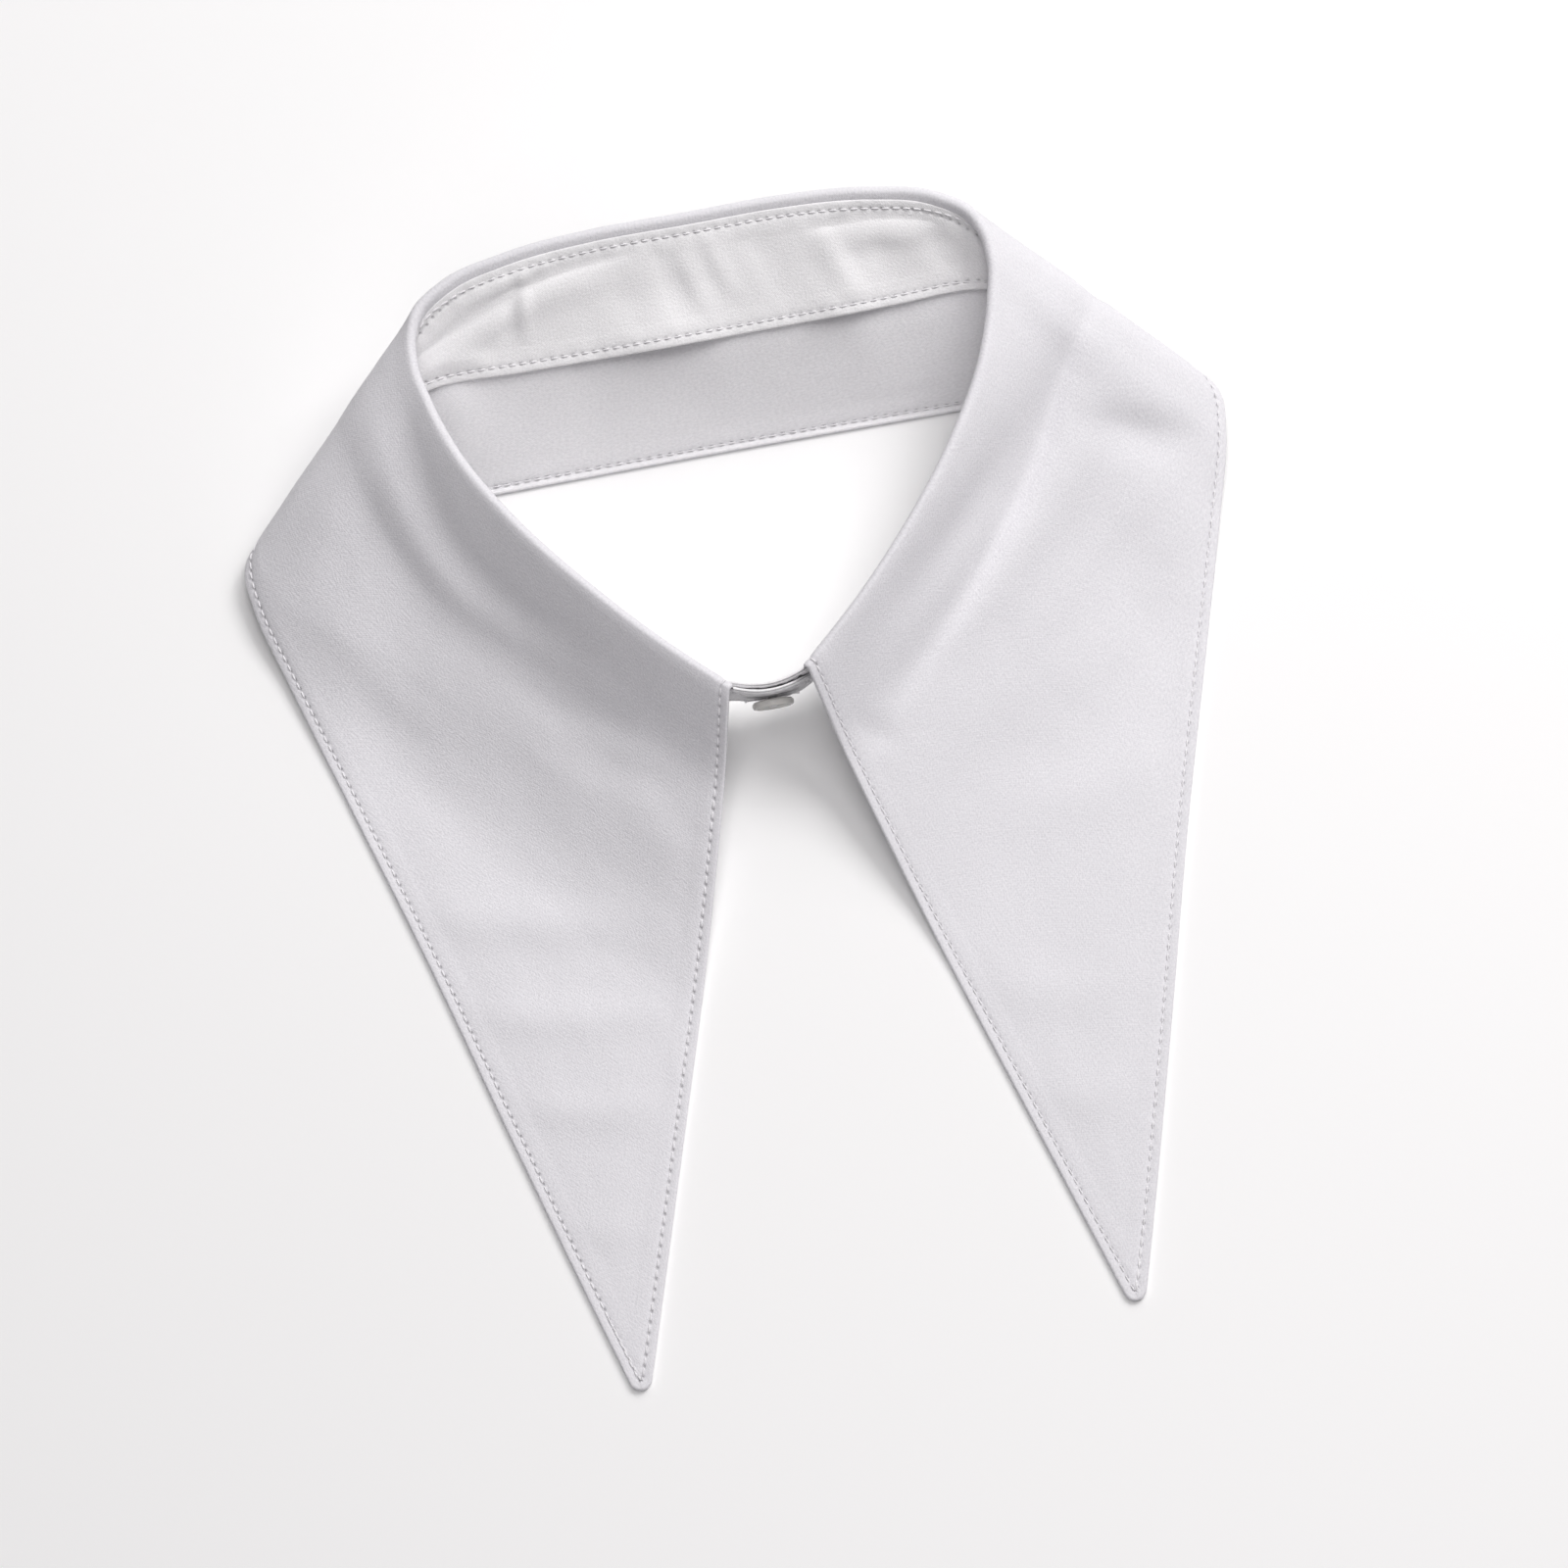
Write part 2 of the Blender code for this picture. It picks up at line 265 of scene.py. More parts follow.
@dataclass(frozen=True)
class Fold:
    """A soft crease in the cloth.

    Its path is in mm: x and y seen from above on the collar, and on the stand the distance
    from the back centre and the distance down from the stand's top.
    """

    path: tuple[Pair, ...]
    height: float  # mm, above the cloth for a ridge, negative for a trough
    near: float  # mm, its width on the left of the path
    far: float  # mm, its width on the right of the path

    def relief(self, across_x: Array, across_y: Array) -> Array:
        """How far the crease moves each point of the cloth.

        Args:
            across_x: The points' first coordinate, in metres.
            across_y: Their second one.

        Returns:
            Metres, in the shape of across_x.
        """
        knots = run_of(np.array(self.path))
        samples = np.linspace(0, knots[-1], PATH_SAMPLES)
        line = curve_through(knots, np.array(self.path), samples)
        x, y = across_x.ravel() / MM, across_y.ravel() / MM
        start, step = line[:-1], np.diff(line, axis=0)
        best = np.full(len(x), np.inf)
        side, share = np.zeros(len(x)), np.zeros(len(x))
        for k, (a, d) in enumerate(zip(start, step)):
            dx, dy = x - a[0], y - a[1]
            t = np.clip((dx * d[0] + dy * d[1]) / (d @ d), 0, 1)
            gap = np.hypot(dx - t * d[0], dy - t * d[1])
            closer = gap < best
            best = np.where(closer, gap, best)
            side = np.where(closer, d[0] * dy - d[1] * dx, side)
            share = np.where(closer, (k + t) / len(step), share)
        width = np.where(side > 0, self.near, self.far)
        along = np.sin(np.pi * np.clip(share, 0.0, 1.0)) ** FADE
        return (self.height * MM * np.exp(-((best / width) ** 2)) * along).reshape(across_x.shape)


def fold_table(*rows: tuple) -> tuple[Fold, ...]:
    """Creases from rows of their fields."""
    return tuple(Fold(*row) for row in rows)


LEAF_FOLDS = fold_table(
    # left leaf
    (((-75, 104), (-74, 84), (-69, 63), (-58, 45), (-42, 31)), 0.75, 3.4, 4.5),
    (((-66, 96), (-66, 79), (-60, 58), (-46, 40), (-30, 24)), -0.7, 3.0, 3.4),
    (((-84, 98), (-80, 76), (-70, 54), (-52, 34), (-28, 8)), -1.15, 4.0, 7.0),
    (((-56, 34), (-44, 22), (-30, 13)), -0.45, 3.0, 4.0),
    (((-48, 18), (-36, 8), (-22, 0)), -0.4, 3.0, 3.6),
    (((-96, 66), (-84, 42), (-66, 20)), 0.8, 7.0, 5.0),
    (((-90, -14), (-62, -20), (-28, -28)), 0.8, 6.0, 5.0),
    (((-80, -37), (-56, -43), (-30, -46)), 0.75, 5.0, 4.5),
    (((-72, -58), (-54, -64), (-36, -65)), 0.65, 4.0, 4.5),
    (((-64, -84), (-54, -90), (-44, -89)), 0.45, 4.0, 4.0),
    (((-34, 14), (-30, -4), (-26, -22)), 0.5, 5.0, 6.0),
    # right leaf
    (((76, 84), (68, 69), (54, 51), (36, 34), (14, 16)), -2.3, 4.4, 5.0),
    (((88, 98), (77, 79), (68, 61), (52, 39), (24, 9)), -2.1, 1.7, 3.6),
    (((90, 88), (80, 66), (64, 44), (44, 22)), 0.6, 4.0, 3.0),
    (((74, 66), (88, 63), (104, 59)), -1.5, 4.0, 7.0),
    (((12, 8), (18, 5), (26, 3)), -0.6, 2.0, 2.5),
    (((28, -50), (48, -57), (70, -57)), 0.45, 6.0, 5.0),
    (((34, -74), (50, -80), (64, -79)), 0.35, 5.0, 5.0),
    (((96, 48), (84, 28), (62, 6)), 0.7, 7.0, 7.0),
    (((86, -8), (62, -14), (34, -10)), 0.5, 8.0, 7.0),
    # back of the fall, which faces away
    (((-62, 113), (-56, 100), (-60, 84)), -0.8, 4.0, 6.0),
    (((-30, 120), (-26, 104), (-31, 84)), 0.6, 5.0, 4.0),
    (((-6, 119), (2, 106), (0, 86)), -0.6, 4.0, 5.0),
    (((26, 120), (34, 104), (33, 84)), -0.7, 5.0, 4.0),
    (((52, 114), (60, 100), (58, 85)), 0.6, 4.0, 5.0),
    # the fall close under the stand's foot, except at two places
    (((-64, 97), (-40, 98), (-10, 98), (20, 98), (44, 97), (66, 95)), -0.7, 6.0, 6.0),
    (((-24, 100), (-9, 100), (6, 100)), 0.9, 1.6, 2.4),
    (((22, 100), (31, 100), (40, 100)), 0.8, 1.6, 2.4),
)
STAND_FOLDS = fold_table(
    (((-66, 13), (-50, 9), (-34, 5.5), (-10, 4)), -1.0, 1.0, 1.7),
    (((-62, 17), (-48, 13), (-34, 9.5), (-16, 8)), 0.8, 3.0, 2.6),
    (((-56, 5), (-44, 3.5), (-30, 2.5)), 0.5, 2.0, 2.0),
    (((-62, 20), (-54, 20.5), (-46, 20)), 0.6, 3.0, 3.5),
    (((-37, 1), (-38, 9), (-39, 18)), 0.6, 1.2, 1.6),
    (((-39, 4), (-42, 12), (-46, 21)), -0.7, 1.6, 2.6),
    (((-60, 16), (-52, 17), (-46, 22)), 0.5, 2.4, 2.4),
    (((-20, 9), (-16, 14), (-13, 23)), -0.35, 2.6, 3.0),
    (((-8, 2), (-6, 11), (-4, 22)), -0.5, 2.0, 3.0),
    (((-3, 3), (-1, 12), (2, 21)), 0.5, 2.0, 2.6),
    (((4, 1), (5, 9), (8, 18)), 0.45, 1.8, 2.2),
    (((12, 4), (16, 11), (18, 20)), -0.5, 2.2, 3.0),
    (((27, 4), (30, 11), (34, 22)), 0.8, 3.2, 2.6),
    (((25, 6), (38, 4), (56, 4.5)), -1.0, 1.1, 1.7),
    (((30, 9), (42, 8), (56, 8.5)), 0.5, 2.6, 2.4),
    (((38, 9), (43, 15), (45, 23)), -0.6, 2.4, 3.4),
    (((52, 7), (55, 14), (57, 22)), -0.8, 2.6, 3.0),
    (((62, 3), (64, 12), (62, 22)), 0.6, 3.0, 3.0),
    (((78, 5), (96, 10), (114, 12)), -0.8, 2.6, 3.2),
    (((-74, 4), (-78, 13), (-76, 22)), -0.8, 3.0, 3.2),
    (((-92, 10), (-112, 12), (-134, 9)), -0.8, 2.6, 3.0),
    (((130, 6), (150, 11), (168, 10)), -0.5, 3.0, 3.0),
)


@dataclass(frozen=True)
class Gape:
    """A place where the stand's foot stands off the fall behind it. Sizes are in mm."""

    at: float  # from the back centre
    half: float  # half its length
    lift: float
    below: float = 0.45  # share of the stand's height that stays in place

    def relief(self, station: Array, share: Array) -> Array:
        """How far the stand moves in, by the place along it and the share of its height."""
        reach = np.clip(1 - ((station / MM - self.at) / self.half) ** 2, 0.0, 1.0) ** 1.5
        return self.lift * MM * reach * smooth((share - self.below) / (1 - self.below))


GAPES = (Gape(-8.0, 16.0, 2.0), Gape(31.0, 10.0, 1.5))


@dataclass
class Sheet:
    """A double sheet of cloth: the surface midway between its two plies, as a grid."""

    points: Array
    normals: Array
    along: Array  # metres along the cloth, from the back centre
    down: Array  # metres down the cloth
    hem: Array  # metres in from the nearest sewn edge
    hem_run: Array  # metres along that edge

    def raised(self, height: Array) -> Array:
        """The grid's points, moved out along its normals by that height."""
        return self.points + self.normals * height[..., None]


def measure_hem(points: Array, border: Array) -> tuple[Array, Array]:
    """Distance from each point to a border, and the place along it.

    Args:
        points: Points, the last axis x, y, z.
        border: The border's points in order.

    Returns:
        Distances and runs along the border, in the shape of the points.
    """
    run = run_of(border)
    tree = KDTree(len(border))
    for k, place in enumerate(border):
        tree.insert(place, k)
    tree.balance()
    flat = points.reshape(-1, 3)
    nearest = np.array([tree.find(p)[1] for p in flat])
    best, place = np.full(len(flat), np.inf), np.zeros(len(flat))
    for shift in (-1, 0):
        a = np.clip(nearest + shift, 0, len(border) - 2)
        start, step = border[a], border[a + 1] - border[a]
        size = np.maximum((step**2).sum(1), 1e-18)
        t = np.clip(((flat - start) * step).sum(1) / size, 0, 1)
        gap = np.linalg.norm(flat - start - step * t[:, None], axis=1)
        closer = gap < best
        best = np.where(closer, gap, best)
        place = np.where(closer, run[a] + t * np.sqrt(size), place)
    return best.reshape(points.shape[:-1]), place.reshape(points.shape[:-1])


@dataclass(frozen=True)
class Wave:
    """Gentle unevenness of the cloth."""

    length: float  # mm, rough distance between two humps
    height: float  # mm
    seed: float  # shifts the noise, so that two pieces differ

    def relief(self, points: Array) -> Array:
        """Its height at each point of a grid, all in metres."""
        hills = [noise.noise(p) for p in points.reshape(-1, 3) / (self.length * MM) + self.seed]
        return np.array(hills).reshape(points.shape[:-1]) * self.height * MM


LEAF_WAVES = (Wave(26, 0.45, 3.1), Wave(9, 0.09, 7.7))
LEAF_LIFT = Wave(38, 0.5, 1.3)
LEAST_LIFT = 0.25  # mm, by which a lying leaf stands off the surface, besides its wave
STAND_WAVES = (Wave(17, 0.3, 5.3), Wave(6, 0.06, 8.9))


@dataclass(frozen=True)
class Turned:
    """How a turned and topstitched edge shapes the cloth. Sizes are in mm."""

    ply: float = 0.42  # one ply of cloth
    half_gap: float = 0.05  # from the sheet's middle to a ply
    allowance: float = 5.2  # width of the turning inside the edge
    allowance_rise: float = 0.06
    allowance_step: float = 1.2
    stitch_in: float = 2.0  # from the edge to the stitches
    groove: float = 0.18
    groove_width: float = 0.55
    curl: float = 0.4  # how far in the edge's rounding starts
    pucker: float = 0.12
    pucker_wave: float = 4.6
    pucker_width: float = 2.2
    pucker_from: float = 0.8
    thin: float = 0.06  # share of a ply's thickness left at the very edge

    def pulls(self, run: Array, seed: int) -> Array:
        """The uneven pull of the thread along the edge.

        Args:
            run: Metres along the edge.
            seed: One for each edge.

        Returns:
            Values from -1 to 1.
        """
        draw = np.random.default_rng(seed)
        knots, values = [-self.pucker_wave * MM], [0.0]
        sign = 1.0
        while knots[-1] < run.max() + self.pucker_wave * MM:
            knots.append(knots[-1] + self.pucker_wave * MM * draw.uniform(0.3, 0.75))
            values.append(sign * draw.uniform(0.15, 1.0))
            sign = -sign
        flat = level_spline(np.array(knots), np.array(values), run.ravel())
        return flat[:, 0].reshape(run.shape)

    def height(self, sheet: Sheet, seed: int) -> Array:
        """Height of a ply's face over the sheet's middle.

        Args:
            sheet: The sheet.
            seed: One for each edge.

        Returns:
            Metres, one a point.
        """
        d = sheet.hem / MM
        flat = self.half_gap + self.ply
        rise = self.allowance_rise * (1 - smooth((d - self.allowance) / self.allowance_step + 0.5))
        groove = self.groove * np.exp(-(((d - self.stitch_in) / self.groove_width) ** 2))
        reach = np.exp(-(((d - self.stitch_in) / self.pucker_width) ** 2)) * smooth(d / self.pucker_from)
        pull = self.pulls(sheet.hem_run, seed) * self.pucker * reach
        round_edge = np.sqrt(np.clip(1 - (1 - np.clip(d / self.curl, 0, 1)) ** 2, 0, 1))
        return (flat + rise - groove + pull) * MM * (0.04 + 0.96 * round_edge)

    def thickness(self, hem: Array) -> Array:
        """Thickness of a ply, which thins where it turns in, in metres."""
        return self.ply * MM * np.clip(self.thin + hem / (self.curl * MM), self.thin, 1.0)


TIP_STATIONS = 12  # stations in from a point at which its edge's direction is taken
TIP_ROWS = 40  # rows up from a point at which its front edge's direction is taken


@dataclass
class CollarForm:
    """The lines that the collar and its stand are lofted on. Sizes are in mm."""

    roll: float = 0.95  # radius of the fold at the neck, to the middle of its two plies
    tuck: float = 0.5  # how far the collar's inner seam reaches behind the stand's top
    lap: float = 0.78  # each stand end's shift out of line
    lap_start: float = 30.0
    lap_full: float = 12.0
    point_round: float = 2.4  # radius of the collar's points
    station: float = 1.35  # between stations of the mesh
    fall_rows: int = 58
    arc_rows: int = 9
    stand_station: float = 0.95
    stand_rows: int = 14
    lie: float = 0.66  # height of the middle of the cloth where it lies flat
    rest_soft: float = 0.1  # how gradually the cloth meets that height
    raise_top: float = 0.62  # share by which the stand's top is nearer the fold than its table
    flat_latest: float = 0.96  # share of the run by which a lying section is flat
    slopes_from: float = 0.80  # a section flat from later than this slopes more and more
    leaf_calm: Triple = (0.25, 1.0, 9.0)  # share of a crease left at the edge, and where it grows
    stand_calm: Triple = (0.3, 0.5, 5.0)
    end_calm: float = 40.0  # from the stand's end, over which its creases grow
    fold_start: int = 4  # rows before the fall at which its creases start
    fold_fade: int = 10  # rows over which they grow
    lying: Pair = (3.0, 8.0)  # height up to which the cloth lies, and over which it leaves off
    lift_in: float = 14.0  # from the edge, over which the lying cloth's lift grows
    stand_room: float = 0.42  # how far the stand's creases may reach towards the fall
    end_round: float = 8.5  # of a stand end
    end_flat: float = 0.997

    def lap_shift(self, line: Array, knots: Array) -> Array:
        """How far the ring's front moves in Y, so that the ends pass each other.

        Args:
            line: Points round the ring.
            knots: Their places.

        Returns:
            Metres, one a point.
        """
        front = np.abs(knots) > np.abs(knots).max() / 2
        reach = np.where(np.sign(knots) == np.sign(line[:, 0]), np.abs(line[:, 0]), 0.0) / MM
        share = smooth((self.lap_start - reach) / (self.lap_start - self.lap_full)) * front
        return share * np.sign(knots) * self.lap * MM

    def collar_stations(self, length: float, slant: float) -> Array:
        """Places of the mesh's stations, closer together near the front edge.

        Args:
            length: Place of the front edge.
            slant: Distance square to the edge for each unit of place.

        Returns:
            Places from the left front edge to the right one.
        """
        fine = length - np.array(HEM_STEPS[::-1]) * MM / slant
        count = int(fine[0] / (self.station * MM))
        half = np.concatenate([np.linspace(0, fine[0], count, endpoint=False), fine])
        return np.concatenate([-half[:0:-1], half])

    def collar_sheet(self) -> Sheet:
        """Loft the collar from its seam inside the neck, over the fold, to its edge.

        Returns:
            The sheet, with its creases.
        """
        half_lines = {n: column(SECTIONS, n) for n in ("rim", "foot", "edge")}
        half_lines["top"] = stand_top(SECTIONS, self.raise_top)
        steps = [run_of(half_lines[n]) for n in ("rim", "edge")]
        half_knots = sum(steps) / 2
        front = half_lines["edge"][-1] - half_lines["rim"][-1]
        side_step = half_lines["rim"][-2] - half_lines["rim"][-1]
        square = np.cross(unit(front[:2]), side_step[:2]) / (half_knots[-1] - half_knots[-2])
        at = self.collar_stations(half_knots[-1], abs(float(square)))
        lines = {}
        for name, line in half_lines.items():
            lines[name], knots = mirrored(line, half_knots)
        for name in ("rim", "top", "foot"):
            lines[name][:, 1] += self.lap_shift(lines[name], knots)
        along = unit(np.gradient(lines["rim"], axis=0))
        lines["down"] = across(lines["foot"] - lines["top"], along)
        lines["neck"] = np.cross(lines["down"], along)
        lines["out"] = np.cross(along, across(lines["edge"] - lines["rim"], along))
        place = {
            n: (line_at if n in half_lines else curve_through)(knots, line, at)
            for n, line in lines.items()
        }
        profile = np.array([[s.crease, s.crease_z * MM, s.lies] for s in SECTIONS])
        profile = level_spline(half_knots, profile, np.abs(at))
        rows = self.fold_rows(place)
        fall = self.fall_grid(rows[-1], place["edge"], profile)
        grid = np.concatenate([np.stack(rows, axis=1), fall], axis=1)
        self.round_points(grid)
        return self.dressed_collar(grid, len(rows))

    def fold_rows(self, place: dict[str, Array]) -> list[Array]:
        """Rows from the seam inside the neck, up and over the fold.

        Args:
            place: The form's lines at every station.

        Returns:
            The rows, the last one just outside the fold.
        """
        rim, neck, out = place["rim"], unit(place["neck"]), unit(place["out"])
        inside = rim + self.roll * MM * neck
        seam = place["top"] - unit(inside - place["top"]) * self.tuck * MM
        turn = np.arccos(np.clip((neck * out).sum(-1), -1, 1))[:, None]
        over = unit(out - neck * np.cos(turn))
        upwards = (over * place["down"]).sum(-1, keepdims=True) < 0
        over = np.where(upwards, over, -over)
        turn = np.where(upwards, turn, 2 * math.pi - turn)
        strip = [seam + (inside - seam) * share for share in STRIP_SHARES]
        arc = [
            rim + self.roll * MM * (neck * np.cos(turn * share) + over * np.sin(turn * share))
            for share in np.linspace(0, 1, self.arc_rows)
        ]
        return [*strip, *arc]

    def heights(self, share: Array, shape: Array, start: float, end: float) -> Array:
        """Heights down one section of the fall: steep, then shallow, then flat.

        Args:
            share: Places down the section, 0 to 1.
            shape: The section's crease, its height and where it lies flat.
            start: Height at the fold.
            end: Height at the edge.

        Returns:
            Metres, one a place.
        """
        crease, crease_z, lies = shape
        sloping = level_spline(np.array([0.0, crease, 1.0]), np.array([start, crease_z, end]), share)
        flat_from = min(lies, self.flat_latest)
        lying = level_spline(
            np.array([0.0, crease, flat_from, 1.0]), np.array([start, crease_z, end, end]), share
        )
        slope = smooth((lies - self.slopes_from) / (1 - self.slopes_from))
        return (lying + (sloping - lying) * slope)[:, 0]

    def fall_grid(self, start: Array, edge: Array, profile: Array) -> Array:
        """The fall, from just outside the fold to the outer edge.

        Args:
            start: Its first row.
            edge: Its outer edge.
            profile: The table's profile at every station.

        Returns:
            A grid of points, whose last rows keep their distance from the edge.
        """
        probe = np.array([0.97, 1.0])
        hem = np.array(HEM_STEPS[::-1]) * MM
        tangent = unit(np.gradient(edge, axis=0))
        columns = []
        for a, b, shape, t in zip(start, edge, profile, tangent):
            ends = a + (b - a) * probe[:, None]
            ends[:, 2] = self.heights(probe, shape, a[2], b[2])
            slope = (ends[1] - ends[0]) / (probe[1] - probe[0])
            slant = np.linalg.norm(np.cross(slope, t))
            fine = 1 - hem / slant
            share = np.concatenate([np.linspace(0, fine[0], self.fall_rows + 1)[1:-1], fine])
            points = a + (b - a) * share[:, None]
            tall = self.heights(share, shape, a[2], b[2])
            points[:, 2] = np.interp(tall / MM, SETTLES, (0.5, self.lie, 6.9, 40.0)) * MM
            columns.append(points)
        return np.stack(columns)

    def round_points(self, grid: Array) -> None:
        """Round off the two points: what lies outside the rounding is drawn in.

        Args:
            grid: The fall's grid, which is changed.
        """
        for end, inner in ((0, TIP_STATIONS), (-1, -1 - TIP_STATIONS)):
            tip = grid[end, -1, :2].copy()
            up_front = unit(grid[end, -TIP_ROWS, :2] - tip)
            up_side = unit(grid[inner, -1, :2] - tip)
            middle = unit(up_front + up_side)
            half = math.acos(float(np.clip(up_front @ up_side, -1, 1))) / 2
            centre = tip + middle * self.point_round * MM / math.sin(half)
            offset = grid[..., :2] - centre
            size = np.maximum(np.linalg.norm(offset, axis=-1), 1e-9)
            turn = np.arccos(np.clip(-(offset @ middle) / size, -1, 1))
            near = (turn < math.pi / 2 - half) & (size < 2 * self.point_round * MM / math.sin(half))
            scale = np.where(near, np.cos(math.pi / 2 - half - turn), 1.0)
            grid[..., :2] = centre + offset * scale[..., None]

    def dressed_collar(self, grid: Array, first: int) -> Sheet:
        """Work the creases into the collar's grid.

        Args:
            grid: The plain grid.
            first: The fall's first row.

        Returns:
            The sheet with its creases, resting on the surface under it.
        """
        border = np.concatenate([grid[0, :-1], grid[:, -1], grid[-1, -2::-1]])
        hem, run = measure_hem(grid, border)
        normals = normals_of(grid)
        relief = sum(f.relief(grid[..., 0], grid[..., 1]) for f in LEAF_FOLDS)
        relief = relief + sum(wave.relief(grid) for wave in LEAF_WAVES)
        rows = np.arange(grid.shape[1])
        relief = relief * smooth((rows - first + self.fold_start) / self.fold_fade)[None, :]
        relief = relief * calmed(hem, *self.leaf_calm)
        flat = 1 - calmed(grid[..., 2], 0.0, *self.lying)
        lift = (LEAST_LIFT * MM + LEAF_LIFT.relief(grid)) * flat * calmed(hem, 0.0, 0.0, self.lift_in)
        points = grid + normals * (relief + np.maximum(lift, 0))[..., None]
        low, soft = self.lie * MM, self.rest_soft * MM
        points[..., 2] = low + soft * np.logaddexp(0, (points[..., 2] - low) / soft)
        base = run_of(grid[:, first])
        along = (base - base[-1] / 2)[:, None] * np.ones(len(rows))
        down = np.stack([run_of(c) for c in grid])
        return Sheet(points, normals_of(points), along, down, hem, run)

    def stand_lines(self, at: Array) -> tuple[Array, Array, float]:
        """The stand's upper and lower edge.

        Args:
            at: Places along it, or nothing to learn its length.

        Returns:
            The two edges at those places, and the place of its end.
        """
        rows = (*SECTIONS, *LAPS)
        halves = (stand_top(rows, self.raise_top), column(rows, "foot"))
        knots = sum(run_of(half) for half in halves) / 2
        edges = []
        for half in halves:
            line, places = mirrored(half, knots)
            line[:, 1] += self.lap_shift(line, places)
            edges.append(line_at(places, line, at))
        return edges[0], edges[1], float(knots[-1])

    def stand_end(self, from_end: Array, inset: float = 0.0) -> Array:
        """Share of its height that the stand keeps near a rounded end, or near one moved in."""
        radius = self.end_round * MM - inset
        return np.sqrt(1 - np.clip(1 - (from_end - inset) / radius, 0, self.end_flat) ** 2)

    def stand_sheet(self) -> Sheet:
        """Loft the stand from its top to its foot.

        Returns:
            The sheet, with its creases.
        """
        length = self.stand_lines(np.zeros(1))[2]
        fine = length - np.array(END_STEPS[::-1]) * MM
        count = int(fine[0] / (self.stand_station * MM))
        half = np.concatenate([np.linspace(0, fine[0], count, endpoint=False), fine])
        at = np.concatenate([-half[:0:-1], half])
        top, foot, _ = self.stand_lines(at)
        tall = np.linalg.norm(foot - top, axis=1)
        edge = np.array(HEM_STEPS[:-1]) * MM / float(tall.mean())
        middle = np.linspace(edge[-1], 1 - edge[-1], self.stand_rows)[1:-1]
        shares = np.concatenate([edge, middle, 1 - edge[::-1]])
        share = 0.5 + (shares[None, :] - 0.5) * self.stand_end(length - np.abs(at))[:, None]
        grid = top[:, None] + (foot - top)[:, None] * share[..., None]
        border = np.concatenate([grid[:, 0], grid[-1, 1:], grid[-2::-1, -1], grid[0, -2::-1]])
        hem, run = measure_hem(grid, border)
        down = share * tall[:, None]
        station = at[:, None] * np.ones(len(shares))
        relief = sum(fold.relief(station, down) for fold in STAND_FOLDS)
        relief = relief + sum(wave.relief(grid) for wave in STAND_WAVES)
        relief = -relief * calmed(hem, *self.stand_calm)
        room = self.stand_room * MM
        relief = np.where(relief > 0, room * np.tanh(relief / room), relief)
        relief = relief * smooth((length - np.abs(at))[:, None] / (self.end_calm * MM))
        relief = relief - sum(gape.relief(station, share) for gape in GAPES)
        points = grid + normals_of(grid) * relief[..., None]
        return Sheet(points, normals_of(points), station, down, hem, run)


def linked(name: str, data: bpy.types.ID) -> Piece:
    """Put data into a new object.

    Args:
        name: Its name.
        data: Its data.

    Returns:
        The object, linked to the scene.
    """
    thing = bpy.data.objects.new(name, data)
    bpy.context.scene.collection.objects.link(thing)
    return thing


def solid_shell(name: str, face: Array, back: Array, side: Face, sheet: Sheet) -> Piece:
    """Make a ply of cloth as a closed thin shell.

    Args:
        name: The piece's name.
        face: Grid of the face that shows.
        back: Grid of the hidden face.
        side: Which way the face that shows is turned.
        sheet: Gives the places on the cloth, which the finish reads.

    Returns:
        The piece, linked to the scene.
    """
    n, m = face.shape[:2]
    index = np.arange(n * m).reshape(n, m)
    quads = np.stack([index[:-1, :-1], index[1:, :-1], index[1:, 1:], index[:-1, 1:]], axis=-1)
    quads = quads.reshape(-1, 4)
    loop = np.concatenate([index[:, 0], index[-1, 1:], index[-2::-1, -1], index[0, -2:0:-1]])
    ahead = np.roll(loop, -1)
    walls = np.stack([ahead, loop, loop + n * m, ahead + n * m], axis=-1)
    faces = np.concatenate([quads, quads[:, ::-1] + n * m, walls[:, ::-1]])
    if side is Face.IN:
        faces = faces[:, ::-1]
    points = np.concatenate([face.reshape(-1, 3), back.reshape(-1, 3)])
    piece = mesh_piece(name, points, faces)
    corners = faces.ravel() % (n * m)
    for title, u, v in (("cloth", sheet.along, sheet.down), ("hem", sheet.hem, sheet.hem_run)):
        layer = piece.data.uv_layers.new(name=title)
        values = np.stack([u.ravel()[corners], v.ravel()[corners]], axis=-1)
        layer.uv.foreach_set("vector", values.astype(np.float32).ravel())
    return piece


def mesh_piece(name: str, points: Array, faces: Array) -> Piece:
    """Make a smooth mesh of quads.

    Args:
        name: The piece's name.
        points: Its points.
        faces: Four corners a face.

    Returns:
        The piece, linked to the scene.
    """
    mesh = bpy.data.meshes.new(name)
    mesh.vertices.add(len(points))
    mesh.vertices.foreach_set("co", points.astype(np.float32).ravel())
    mesh.loops.add(faces.size)
    mesh.loops.foreach_set("vertex_index", faces.astype(np.int32).ravel())
    mesh.polygons.add(len(faces))
    mesh.polygons.foreach_set("loop_start", np.arange(0, faces.size, 4, dtype=np.int32))
    mesh.update(calc_edges=True)
    mesh.validate()
    mesh.shade_smooth()
    return linked(name, mesh)


